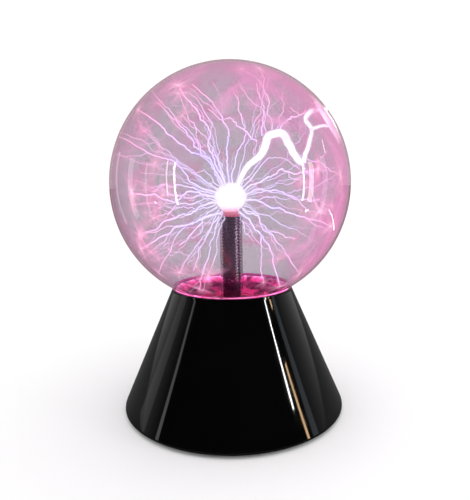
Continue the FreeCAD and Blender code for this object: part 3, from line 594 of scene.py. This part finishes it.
# Each of the bolt's courses, with its radius at the start, at thirds and at the end.
BOLT_PARTS = [
    (BOLT, (1.2, 2.4, 2.6, 1.6)),
    (BOLT_RISE, (1.5, 0.9, 1.3, 1.7)),
    (BOLT_FORK, (0.9, 0.8, 0.8, 1.2)),
]


def any_direction(draw):
    return Vector((draw.uniform(-1, 1), draw.uniform(-1, 1), draw.uniform(-1, 1)))


def smooth_path(points, per_span):
    """A Catmull-Rom curve through the points."""
    padded = [points[0] * 2 - points[1], *points, points[-1] * 2 - points[-2]]
    path = []
    for index in range(1, len(padded) - 2):
        a, b, c, d = padded[index - 1:index + 3]
        for step in range(per_span):
            t = step / per_span
            path.append(0.5 * (2 * b + (c - a) * t + (2 * a - 5 * b + 4 * c - d) * t * t
                               + (3 * b - a - 3 * c + d) * t ** 3))
    path.append(points[-1])
    return path


def steady_noise(place):
    """A vector of noise that is the same on every run, from three places far apart."""
    return Vector((
        noise.noise(place),
        noise.noise(place + Vector((31.7, 5.3, 0))),
        noise.noise(place + Vector((0, 47.9, 11.1))),
    ))


def wander(path, seed, broad, fine):
    """Let a path waver, least at its ends, and keep it inside the globe."""
    result = []
    for index, point in enumerate(path):
        t = index / (len(path) - 1)
        ease = min(1, 6 * t, 6 * (1 - t))
        here = Vector((seed * 7.3, 0, 0)) + point / 14
        shift = steady_noise(here) * broad + steady_noise(here * 4.5) * fine
        moved = point + shift * ease
        if moved.length > WALL:
            moved = moved.normalized() * WALL
        result.append(moved)
    return result


def strand_points(side, start, course):
    """The course given from the front, with its depth growing until it meets the wall."""
    x, z = course[-1]
    depth = side * math.sqrt(max(0, WALL ** 2 - x * x - z * z))
    reach = Vector((x - start.x, z - start.z)).length
    points = [start]
    for x, z in course:
        t = min(1, Vector((x - start.x, z - start.z)).length / reach)
        points.append(Vector((x, start.y + (depth - start.y) * t ** 1.2, z)))
    points[-1] = Vector((x, depth, z)).normalized() * WALL
    return points


class Threads:
    """Many tubes in one mesh, each with a weight that its material reads."""

    def __init__(self, sides):
        self.bm = bmesh.new()
        self.weight = self.bm.verts.layers.float.new("weight")
        self.sides = sides

    def add(self, path, radius_at, weight_at):
        """A tube along a path; radius_at and weight_at take 0 to 1 along it."""
        rings = []
        frame_side = Vector((0.3, 0.8, 0.5)).normalized()
        for index, point in enumerate(path):
            ahead = path[min(index + 1, len(path) - 1)] - path[max(index - 1, 0)]
            ahead.normalize()
            frame_side = (frame_side - ahead * frame_side.dot(ahead)).normalized()
            other = ahead.cross(frame_side)
            t = index / (len(path) - 1)
            ring = []
            for step in range(self.sides):
                angle = 2 * math.pi * step / self.sides
                spoke = frame_side * math.cos(angle) + other * math.sin(angle)
                vertex = self.bm.verts.new(CENTRE + (point + spoke * radius_at(t)) * MM)
                vertex[self.weight] = weight_at(t)
                ring.append(vertex)
            rings.append(ring)
        for low, high in zip(rings, rings[1:]):
            for step in range(self.sides):
                following = (step + 1) % self.sides
                self.bm.faces.new((low[step], low[following], high[following], high[step]))
        self.bm.faces.new(rings[0][::-1])
        self.bm.faces.new(rings[-1])

    def piece(self, name, material):
        for face in self.bm.faces:
            face.smooth = True
        add_piece(name, to_mesh(self.bm, name), material)


class Feet:
    """Soft star-shaped spots where strands meet the wall."""

    SPOKES = 40
    # Each ring's share of the spot's size, and of its brightness.
    RINGS = [(0.2, 0.62), (0.45, 0.34), (0.75, 0.13), (1.0, 0.0)]

    def __init__(self):
        self.bm = bmesh.new()
        self.weight = self.bm.verts.layers.float.new("weight")

    def vertex(self, spot, weight):
        made = self.bm.verts.new(CENTRE + spot.normalized() * WALL * MM)
        made[self.weight] = weight
        return made

    def add(self, at, size, weight, draw):
        normal = at.normalized()
        side = normal.orthogonal().normalized()
        other = normal.cross(side)
        arms = draw.randint(4, 7)
        phase = draw.uniform(0, 6)
        middle = self.vertex(normal, weight)
        rings = []
        for share, strength in self.RINGS:
            ring = []
            for step in range(self.SPOKES):
                angle = 2 * math.pi * step / self.SPOKES
                star = 0.72 + 0.24 * math.cos(arms * angle + phase) + 0.30 * math.cos(2 * angle + phase * 2)
                reach = size * share * max(0.3, star)
                spoke = side * math.cos(angle) + other * math.sin(angle)
                ring.append(self.vertex(normal * WALL + spoke * reach, weight * strength))
            rings.append(ring)
        for step in range(self.SPOKES):
            following = (step + 1) % self.SPOKES
            self.bm.faces.new((middle, rings[0][step], rings[0][following]))
            for low, high in zip(rings, rings[1:]):
                self.bm.faces.new((low[step], high[step], high[following], low[following]))

    def piece(self):
        g = Graph("discharge_foot_glow")
        weight = g.node("Attribute", {"attribute_name": "weight"}).outputs["Fac"]
        grain = g.span(g.noise(260, 3, distortion=1.0), 0.3, 0.7, 0.7, 1.2)
        share = g.times(weight, grain, clamp=True)
        tone = g.ramp(g.times(weight, 0.5), FOOT_COLORS)
        for face in self.bm.faces:
            face.smooth = True
        mesh = to_mesh(self.bm, "discharge_feet")
        add_piece("discharge_feet", mesh, g.glowing(share, tone, 1.35))


class Discharge:
    """The strands from the bulb to the wall, each a bright core in a violet sheath."""

    def __init__(self, draw):
        self.draw = draw
        self.cores = Threads(8)
        self.sheaths = Threads(12)
        self.bolt = Threads(14)
        self.bolt_sheath = Threads(14)
        self.feet = Feet()

    def run(self, path, weight):
        """A strand that thins towards the wall."""
        self.cores.add(
            path,
            lambda t: 0.20 + weight * (0.42 - 0.16 * t),
            lambda t: weight * (1.5 - 0.4 * t),
        )
        self.sheaths.add(
            path,
            lambda t: 0.9 + weight * (1.3 - 0.6 * t),
            lambda t: weight * (0.95 - 0.45 * t),
        )

    def fork(self, path, weight, count):
        """Short side threads that leave a strand near its end and reach the wall beside it."""
        draw = self.draw
        for _ in range(count):
            at = int(len(path) * draw.uniform(0.45, 0.8))
            spread = any_direction(draw) * 16
            end = (path[-1] + spread).normalized() * WALL
            crosses_dish = abs(end.x) < 18 and end.z < -30
            if crosses_dish:
                continue
            middle = (path[at] + end) / 2 + spread * 0.15
            side = wander(smooth_path([path[at], middle, end], 10), draw.uniform(0, 90), 3, 1.2)
            self.run(side, weight * draw.uniform(0.35, 0.6))
            self.feet.add(end, draw.uniform(7, 13), weight * 0.6, draw)

    def add_strands(self):
        draw = self.draw
        jobs = []
        for side, weight, course in STRANDS:
            x, z = course[0]
            towards = (Vector((x, side * 5, z)) - BULB_PLACE).normalized()
            jobs.append((side, weight, BULB_PLACE + towards * BULB_SIZE, course))
        for side, weight, start, course in BRANCHES:
            jobs.append((side, weight, Vector(start), course))
        for side, weight, start, course in jobs:
            points = strand_points(side, start, course)
            path = wander(smooth_path(points, 9), draw.uniform(0, 90), 3.2, 1.3)
            self.run(path, weight)
            self.feet.add(path[-1], draw.uniform(11, 18), 0.6 + 0.4 * weight, draw)
            self.fork(path, weight, draw.choice([0, 1, 1, 2]))

    def add_faint_strands(self):
        draw = self.draw
        for _ in range(FAINT_STRANDS):
            height = draw.uniform(-0.62, 0.95)
            turn = draw.uniform(0, 2 * math.pi)
            flat = math.sqrt(1 - height * height)
            end = Vector((flat * math.sin(turn), flat * math.cos(turn), height)) * WALL
            crosses_stem = end.y < 0 and abs(end.x) < 24 and end.z < 0
            if crosses_stem:
                continue
            start = BULB_PLACE + (end - BULB_PLACE).normalized() * BULB_SIZE
            knee = (start + end) / 2 + any_direction(draw) * 9
            path = wander(smooth_path([start, knee, end], 22), draw.uniform(0, 90), 4.0, 1.5)
            weight = draw.uniform(0.22, 0.5)
            self.run(path, weight)
            self.feet.add(path[-1], draw.uniform(9, 18), weight * 1.3, draw)
            self.fork(path, weight, draw.choice([0, 1, 2]))

    def add_bolt(self):
        for course, radii in BOLT_PARTS:
            path = wander(smooth_path([Vector(point) for point in course], 8), 3, 1.0, 0.6)

            def radius_at(t):
                spot = min(t * 3, 2.999)
                index = int(spot)
                return radii[index] + (radii[index + 1] - radii[index]) * (spot - index)

            self.bolt.add(path, radius_at, lambda t: 3.0)
            self.bolt_sheath.add(path, lambda t: radius_at(t) * 1.15 + 1.0, lambda t: 0.9)
        touch = smooth_path([Vector(point).normalized() * (WALL - 1.6) for point in TOUCH], 8)
        self.bolt.add(touch, lambda t: 0.5 + 1.7 * math.sin(math.pi * t), lambda t: 3.0)
        self.bolt_sheath.add(touch, lambda t: 1.0 + 1.6 * math.sin(math.pi * t), lambda t: 0.9)
        for end in (BOLT_RISE[-1], BOLT_FORK[-1], *TOUCH[1:5]):
            self.feet.add(Vector(end), 15, 2.4, self.draw)

    def finish(self):
        for name, threads, colors, strength, fade, solid in (
            ("discharge_cores", self.cores, CORE_COLORS, 2.0, 0.5, 1.15),
            ("discharge_sheaths", self.sheaths, SHEATH_COLORS, 1.25, 2.0, 0.42),
            ("discharge_bolt", self.bolt, BOLT_COLORS, 3.2, 0.4, 1.0),
            ("discharge_bolt_sheath", self.bolt_sheath, BOLT_SHEATH_COLORS, 1.7, 1.6, 0.7),
        ):
            threads.piece(name, discharge_material(name, colors, strength, fade, solid))
        self.feet.piece()


def add_discharge():
    discharge = Discharge(random.Random(4))
    discharge.add_strands()
    discharge.add_faint_strands()
    discharge.add_bolt()
    discharge.finish()


# ---- base
def base_material():
    """Deep black gloss: slight orange peel, faint smears, a little dust, and pink light on the
    inside of the lip."""
    g = Graph("piano_black")
    place = g.place()
    dust = g.math("GREATER_THAN", g.noise(2600, 1, place), 0.78)
    color = g.ramp(dust, [(0.0, (0.0009, 0.0009, 0.001)), (1.0, (0.006, 0.006, 0.006))])
    smear = g.span(g.noise(26, 6, place, distortion=1.2), 0.35, 0.75, 0.035, 0.11)
    peel = g.bump(g.noise(240, 2, place), 0.25, 0.004 * MM)
    axes = g.axes(place)
    high = g.span(axes["Z"], SHOULDER - 0.8 * MM, SHOULDER + 0.9 * MM)
    inside = g.span(g.length(x=axes["X"], y=axes["Y"]), 44.5 * MM, 45.9 * MM, 1.0, 0.0)
    lip_light = g.times(g.times(high, inside), 1.5)
    shader = g.node("BsdfPrincipled", Base_Color=color, Roughness=smear, IOR=1.5, Normal=peel,
                    Coat_Weight=0.6, Coat_Roughness=0.02,
                    Emission_Color=(0.75, 0.07, 0.36, 1), Emission_Strength=lip_light)
    return g.done(shader.outputs[0])


def base_outline():
    """The cone's section: foot, flank, lip, the ledge the dish lies on, and the inside."""
    low, top = base_low.z / MM, base_high.z / MM
    radius = BASE_RADIUS / MM
    shoulder, height = SHOULDER_RADIUS / MM, SHOULDER / MM
    foot = low + 2.2
    cover_radius, cover_top = 83.2, 4.55
    lip_inside, ledge, ledge_bottom = 43.35, 86.55, 84.0

    def on_flank(share):
        """A plain point on the straight flank, so that its shading stays straight too."""
        across = radius - 0.2 + (shoulder + 0.35 - radius) * share
        return (across, foot + (height - foot) * share, 0)

    return rounded([
        (cover_radius, low, 0),
        (radius - 1.2, low, 0),
        (radius, low + 0.9, 0.3),
        (radius - 0.2, foot, 0.6),
        on_flank(0.01),
        on_flank(0.5),
        on_flank(0.99),
        (shoulder + 0.15, height, 0),
        (shoulder + 0.05, top, 0.9),
        (44.85, top, 0.25),
        (lip_inside, height, 0.5),
        (lip_inside, ledge, 0),
        (38.05, ledge, 0),
        (38.05, ledge_bottom, 0),
        (47.3, ledge_bottom, 0),
        (82.15, cover_top, 0),
        (cover_radius, cover_top, 0),
    ])


def add_box(bm, middle, size):
    """A box in a bmesh, as a start for cutting or bevelling; returns its vertices."""
    made = bmesh.ops.create_cube(bm, size=1)["verts"]
    matrix = Matrix.Translation(middle) @ Matrix.Diagonal((*size, 1))
    bmesh.ops.transform(bm, matrix=matrix, verts=made)
    return made


def cut_rear_window(shell):
    """Open the back of the shell round the rear panel."""
    low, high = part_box("rear_panel")
    gap = 0.1 * MM
    start, depth = 60 * MM, 60 * MM
    bm = bmesh.new()
    size = Vector((high.x - low.x + 2 * gap, depth, high.z - low.z + 2 * gap))
    add_box(bm, Vector((0, start + depth / 2, (high.z + low.z) / 2)), size)
    cutter = bpy.data.objects.new("window_cutter", to_mesh(bm, "window_cutter"))
    bpy.context.collection.objects.link(cutter)
    cut = shell.modifiers.new("window", "BOOLEAN")
    cut.operation = "DIFFERENCE"
    cut.solver = "EXACT"
    cut.object = cutter
    bpy.context.view_layer.update()
    evaluated = shell.evaluated_get(bpy.context.evaluated_depsgraph_get())
    finished = bpy.data.meshes.new_from_object(evaluated)
    shell.modifiers.clear()
    shell.data = finished
    bpy.data.objects.remove(cutter)


def add_base():
    mesh = revolve("base_shell", base_outline(), 256)
    shell = add_piece("base_shell", mesh, base_material(), ["base_cone"])
    cut_rear_window(shell)
    return shell


def dish_material():
    """The dish under the globe, steeped in painted pink light from the discharge, with painted streaks of
    reflection, and brightest at its rim.
    """
    g = Graph("dish_in_pink_light")
    place = g.place()
    axes = g.axes(place)
    radius = g.length(x=axes["X"], y=axes["Y"])
    # Painted reflections: streaks of the discharge's pink light, drawn as stretched noise in the emission.
    flattened = g.node("Mapping", Vector=place, Scale=(1, 1, 0.2)).outputs[0]
    reflection_streaks = g.noise(60, 4, flattened, distortion=2.0)
    tone = g.ramp(g.span(radius, 20 * MM, 43.2 * MM), [
        (0.0, (0.62, 0.02, 0.14)),
        (0.8, (0.78, 0.04, 0.24)),
        (0.94, (1.0, 0.14, 0.42)),
        (1.0, (1.0, 0.45, 0.72)),
    ])
    rim = g.span(radius, 36 * MM, 43 * MM, 1.0, 1.7)
    strength = g.times(g.span(reflection_streaks, 0.38, 0.64, 0.25, 3.4), rim)
    shader = g.node("BsdfPrincipled", Base_Color=(0.10, 0.012, 0.04, 1), Roughness=0.25,
                    Emission_Color=tone, Emission_Strength=strength)
    return g.done(shader.outputs[0])


def lit_by_discharge(name, color, light):
    """A dark soft material under the globe that catches its pink light."""
    g = Graph(name)
    place = g.place()
    glow = g.span(g.noise(70, 4, place, distortion=1.5), 0.38, 0.62, 0.3, 1.5)
    shader = g.node("BsdfPrincipled", Base_Color=(*color, 1), Roughness=0.8, Emission_Color=(*light, 1),
                    Emission_Strength=glow, Normal=g.bump(g.noise(900, 3, place), 0.6, 0.1 * MM))
    return g.done(shader.outputs[0])


def add_switch_grip():
    """The slide switch's knob, with rounded edges and grip ribs on its outer face."""
    low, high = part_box("switch_knob")
    bm = bmesh.new()
    middle_x = (low.x + high.x) / 2
    middle_z = (low.z + high.z) / 2
    ribs, pitch = 4, 0.95 * MM

    def block(x, start, end, half_x, half_z, bevel):
        """A block with rounded edges. start and end are in metres, the other sizes in mm."""
        size = Vector((half_x * 2 * MM, end - start, half_z * 2 * MM))
        made = add_box(bm, Vector((x, (start + end) / 2, middle_z)), size)
        edges = {edge for vertex in made for edge in vertex.link_edges}
        bmesh.ops.bevel(bm, geom=list(edges), offset=bevel * MM, segments=3, affect="EDGES")

    block(middle_x, low.y, low.y + 3 * MM, 3.2, 2.5, 0.2)
    block(middle_x, low.y + 2.5 * MM, high.y - 0.5 * MM, 2, 1.9, 0.3)
    for index in range(ribs):
        x = middle_x + (index - (ribs - 1) / 2) * pitch
        block(x, high.y - 1.2 * MM, high.y, 0.28, 1.6, 0.12)
    mesh = finish_mesh(bm, "switch_grip", 50)
    material = moulded("switch_plastic", (0.03, 0.03, 0.032), 0.42, 900, 0.01)
    add_piece("switch_grip", mesh, material, ["switch_knob"], "switch")


def sleeve_material():
    """Satin black sleeve with painted red light from the discharge, in patches along a slanting band low
    down.
    """
    g = Graph("sleeve_satin")
    place = g.place()
    shade = g.ramp(g.noise(120, 4, place), [(0.3, (0.002, 0.0015, 0.004)), (0.7, (0.007, 0.004, 0.010))])
    gloss = g.span(g.noise(500, 3, place), 0.3, 0.7, 0.22, 0.34)
    axes = g.axes(place)
    # Painted light: red glow from the discharge in a slanting band low down, drawn as emission.
    slant = g.math("ADD", axes["Z"], g.times(axes["X"], 1.6))
    low_light = g.ramp(g.span(slant, DISH_TOP, SLEEVE_TOP), [
        (0.0, (0.015, 0.0, 0.006)),
        (0.2, (0.03, 0.0, 0.008)),
        (0.32, (0.16, 0.006, 0.012)),
        (0.44, (0.004, 0.0, 0.008)),
    ])
    red_glow_patches = g.span(g.noise(60, 3, place), 0.4, 0.6, 0.0, 1.6)
    shader = g.node("BsdfPrincipled", Base_Color=shade, Roughness=gloss, Specular_IOR_Level=0.3,
                    Emission_Color=low_light, Emission_Strength=red_glow_patches,
                    Normal=g.bump(g.noise(900, 2, place), 0.3, 0.01 * MM))
    return g.done(shader.outputs[0])


def dress_nodes():
    """Materials for the CAD nodes that stay, by their slots in the record."""
    finishes = {
        "sleeve_black": sleeve_material(),
        "silicone_rubber": moulded("silicone", (0.72, 0.70, 0.66), 0.5, 300, 0.03, 0.08,
                                   Subsurface_Weight=0.3),
        "foam_rubber": lit_by_discharge("foam", (0.05, 0.02, 0.03), (0.60, 0.04, 0.20)),
        "inner_plastic": moulded("inner_plastic", (0.10, 0.10, 0.11), 0.5),
        "dish_plastic": dish_material(),
        "matte_black": moulded("spark_eroded_black", (0.030, 0.030, 0.031), 0.5, 1100, 0.05, 0.12),
        "rubber_black": moulded("foot_rubber", (0.028, 0.028, 0.028), 0.85, 600, 0.06),
        "screw_steel": brushed("plated_steel", (0.62, 0.62, 0.60), 0.3),
        "board_green": moulded("solder_mask", (0.02, 0.16, 0.06), 0.3, 250, 0.01),
        "ferrite": moulded("ferrite_grey", (0.07, 0.07, 0.075), 0.6, 800, 0.04),
        "copper_wire": brushed("enamelled_copper", (0.66, 0.26, 0.12), 0.28),
        "winding_tape": moulded("polyester_tape", (0.62, 0.42, 0.06), 0.3, 200, 0.02),
        "component_black": moulded("epoxy_black", (0.02, 0.02, 0.022), 0.5),
        "heat_sink_aluminium": brushed("bare_aluminium", (0.78, 0.78, 0.80), 0.35),
        "capacitor_sleeve": moulded("shrunk_sleeve", (0.02, 0.03, 0.09), 0.35, 300, 0.02),
        "capacitor_film": moulded("dipped_epoxy", (0.32, 0.03, 0.02), 0.35, 200, 0.03),
        "resistor_ceramic": moulded("lacquered_ceramic", (0.55, 0.42, 0.26), 0.4, 300, 0.02),
        "connector_nylon": moulded("natural_nylon", (0.74, 0.72, 0.66), 0.45, 300, 0.02),
        "lead_insulation": moulded("silicone_insulation", (0.55, 0.02, 0.015), 0.5, 300, 0.02),
        "contact_brass": brushed("plated_brass", (0.80, 0.62, 0.28), 0.25),
        "stem_glass": lit_glass("tip_glass_clear", (0.96, 0.96, 0.97), 0.004),
    }
    for entry in frame["record"]["subparts"]:
        finish = finishes.get(entry["material_slot"])
        if finish:
            materials = NODES[entry["node"]].data.materials
            materials.clear()
            materials.append(finish)


# ---- studio
ROOM_LIGHT = 1.16
BACKDROP = 1.06
FLOOR_RADIUS = 8
LAMP_DISTANCE = 0.40
WHITE_LIGHT = (1, 1, 1)
WARM_LIGHT = (1.0, 0.66, 0.36)
WARM_WHITE = (1.0, 0.87, 0.68)
COOL_LIGHT = (0.75, 0.88, 1.0)
PINK_WHITE = (1.0, 0.86, 0.96)


def add_floor():
    """A pale floor, which gloss sees darker so that the black base stays black."""
    bm = bmesh.new()
    bmesh.ops.create_circle(bm, cap_ends=True, segments=96, radius=FLOOR_RADIUS)
    mesh = to_mesh(bm, "floor")
    floor = bpy.data.objects.new("floor", mesh)
    bpy.context.collection.objects.link(floor)
    g = Graph("floor_pale")
    tone = g.ramp(g.noise(3, 3), [(0.2, (0.92, 0.92, 0.92)), (0.8, (0.93, 0.93, 0.93))])
    pale = g.node("BsdfDiffuse", Color=tone)
    path = g.node("LightPath").outputs
    dimness = g.span(path["Is Transmission Ray"], 0.0, 1.0, 0.09, 0.32)
    grey = g.node("CombineColor", Red=dimness, Green=dimness, Blue=dimness).outputs[0]
    dim = g.node("BsdfDiffuse", Color=grey)
    mirrored = g.math("MINIMUM", path["Glossy Depth"], 1.0)
    mesh.materials.append(g.done(g.mix(mirrored, pale.outputs[0], dim.outputs[0])))


def add_world():
    """A plain pale room: even light on the floor, and dim surroundings in gloss."""
    g = Graph("room", bpy.data.worlds, "OutputWorld")
    path = g.node("LightPath").outputs
    direction = g.axes(g.node("TexCoord").outputs["Generated"])
    dim_gloss = g.span(direction["Y"], -0.25, 0.6, 0.006, 0.34)
    mirrored = g.math("MINIMUM", path["Glossy Depth"], 1.0)

    def light(strength):
        return g.node("Background", Color=(1, 1, 1, 1), Strength=strength).outputs[0]

    direct = g.mix(mirrored, light(BACKDROP), light(dim_gloss))
    bpy.context.scene.world = g.done(g.mix(path["Is Diffuse Ray"], direct, light(ROOM_LIGHT)))


def on_ring(azimuth, height):
    """A place on the ring of lamps, azimuth in degrees from the front, + to the right."""
    angle = math.radians(azimuth)
    return Vector((math.sin(angle) * LAMP_DISTANCE, -math.cos(angle) * LAMP_DISTANCE, height))


def add_strip(name, low, high, width, radiance, color, receivers=None):
    """A tall soft lamp between two places on the ring, optionally lighting only some pieces."""
    foot, head = on_ring(*low), on_ring(*high)
    middle = (foot + head) / 2
    length = (head - foot).length
    upright = (head - foot).normalized()
    side = upright.cross(Vector((middle.x, middle.y, 0))).normalized()
    outward = side.cross(upright)
    data = bpy.data.lights.new(name, "AREA")
    data.shape = "RECTANGLE"
    data.size = width
    data.size_y = length
    data.energy = radiance * width * length * math.pi
    data.color = color
    lamp = bpy.data.objects.new(name, data)
    turn = Matrix((side, upright, outward)).transposed().to_4x4()
    lamp.matrix_world = Matrix.Translation(middle) @ turn
    lamp.visible_camera = False
    lamp.visible_transmission = False
    bpy.context.collection.objects.link(lamp)
    if receivers:
        group = bpy.data.collections.new(f"{name}_lights")
        for piece in receivers:
            group.objects.link(piece)
        lamp.light_linking.receiver_collection = group


def add_lamps(globe, base):
    """Strips for the reflections: on the globe, on the base, and one on the sleeve."""
    sleeve = NODES["stem_sleeve"]
    add_strip("strip_right", (60, 0.095), (61, 0.29), 0.012, 26, WHITE_LIGHT)
    add_strip("strip_right_warm", (67, 0.09), (69.5, 0.275), 0.036, 9, WARM_WHITE, [globe])
    add_strip("streak_low", (66.8, 0.03), (66, 0.15), 0.016, 8, WARM_LIGHT, [base])
    add_strip("streak_high", (71.5, 0.229), (71.2, 0.252), 0.014, 11, WARM_LIGHT, [base])
    add_strip("strip_left", (-42.5, 0.08), (-45, 0.30), 0.014, 30, WHITE_LIGHT, [globe])
    add_strip("strip_left_warm", (-50, 0.13), (-52, 0.31), 0.010, 14, WARM_WHITE, [globe])
    add_strip("band_left_inner", (-71, 0.03), (-72, 0.28), 0.016, 2.2, WHITE_LIGHT, [globe])
    add_strip("band_left", (-89, 0.04), (-92, 0.29), 0.05, 1.6, WHITE_LIGHT, [globe])
    add_strip("band_left_outer", (-112, 0.04), (-118, 0.28), 0.03, 0.8, WHITE_LIGHT, [globe])
    add_strip("band_right", (83, 0.04), (85, 0.29), 0.045, 1.6, COOL_LIGHT, [globe])
    add_strip("base_left", (-70.5, 0.03), (-71, 0.26), 0.024, 0.8, WHITE_LIGHT, [base])
    add_strip("base_side_left", (-94, 0.0), (-98, 0.30), 0.10, 0.18, WHITE_LIGHT, [base])
    add_strip("base_side_right", (75, 0.02), (79, 0.28), 0.045, 0.42, COOL_LIGHT, [base])
    add_strip("stem_line", (70, 0.0), (72, 0.2), 0.03, 480, PINK_WHITE, [sleeve])
    add_strip("glint_right", (65.5, 0.042), (68.8, 0.050), 0.012, 22, WHITE_LIGHT, [globe])
    add_strip("glint_left", (-63, 0.095), (-63.5, 0.108), 0.010, 22, WHITE_LIGHT, [globe])
    add_strip("glint_high", (91, 0.30), (94, 0.36), 0.008, 8, WHITE_LIGHT, [globe])
    add_strip("glint_low", (95, 0.065), (120, 0.013), 0.008, 8, WHITE_LIGHT, [globe])


def add_point_light(name, height, energy, color):
    """Light from the discharge, which itself isn't seen."""
    data = bpy.data.lights.new(name, "POINT")
    data.energy = energy
    data.color = color
    data.shadow_soft_size = 4 * MM
    lamp = bpy.data.objects.new(name, data)
    lamp.location = (0, -18 * MM, height)
    lamp.visible_camera = False
    lamp.visible_transmission = False
    lamp.visible_glossy = False
    bpy.context.collection.objects.link(lamp)


add_camera()
globe = add_globe()
add_stem()
add_filling()
add_electrode_glow()
add_gas()
add_discharge()
base = add_base()
add_switch_grip()
dress_nodes()
add_floor()
add_world()
add_lamps(globe, base)
add_point_light("bulb_light", BULB.z + 15 * MM, 0.04, (1.0, 0.75, 0.95))
add_point_light("dish_light", CENTRE.z - 60 * MM, 0.03, (1.0, 0.3, 0.55))
scene = bpy.context.scene
scene.view_settings.view_transform = "Standard"
# Enough for a ray to pass every thread, the haze, the gas and the glass.
scene.cycles.transparent_max_bounces = 64
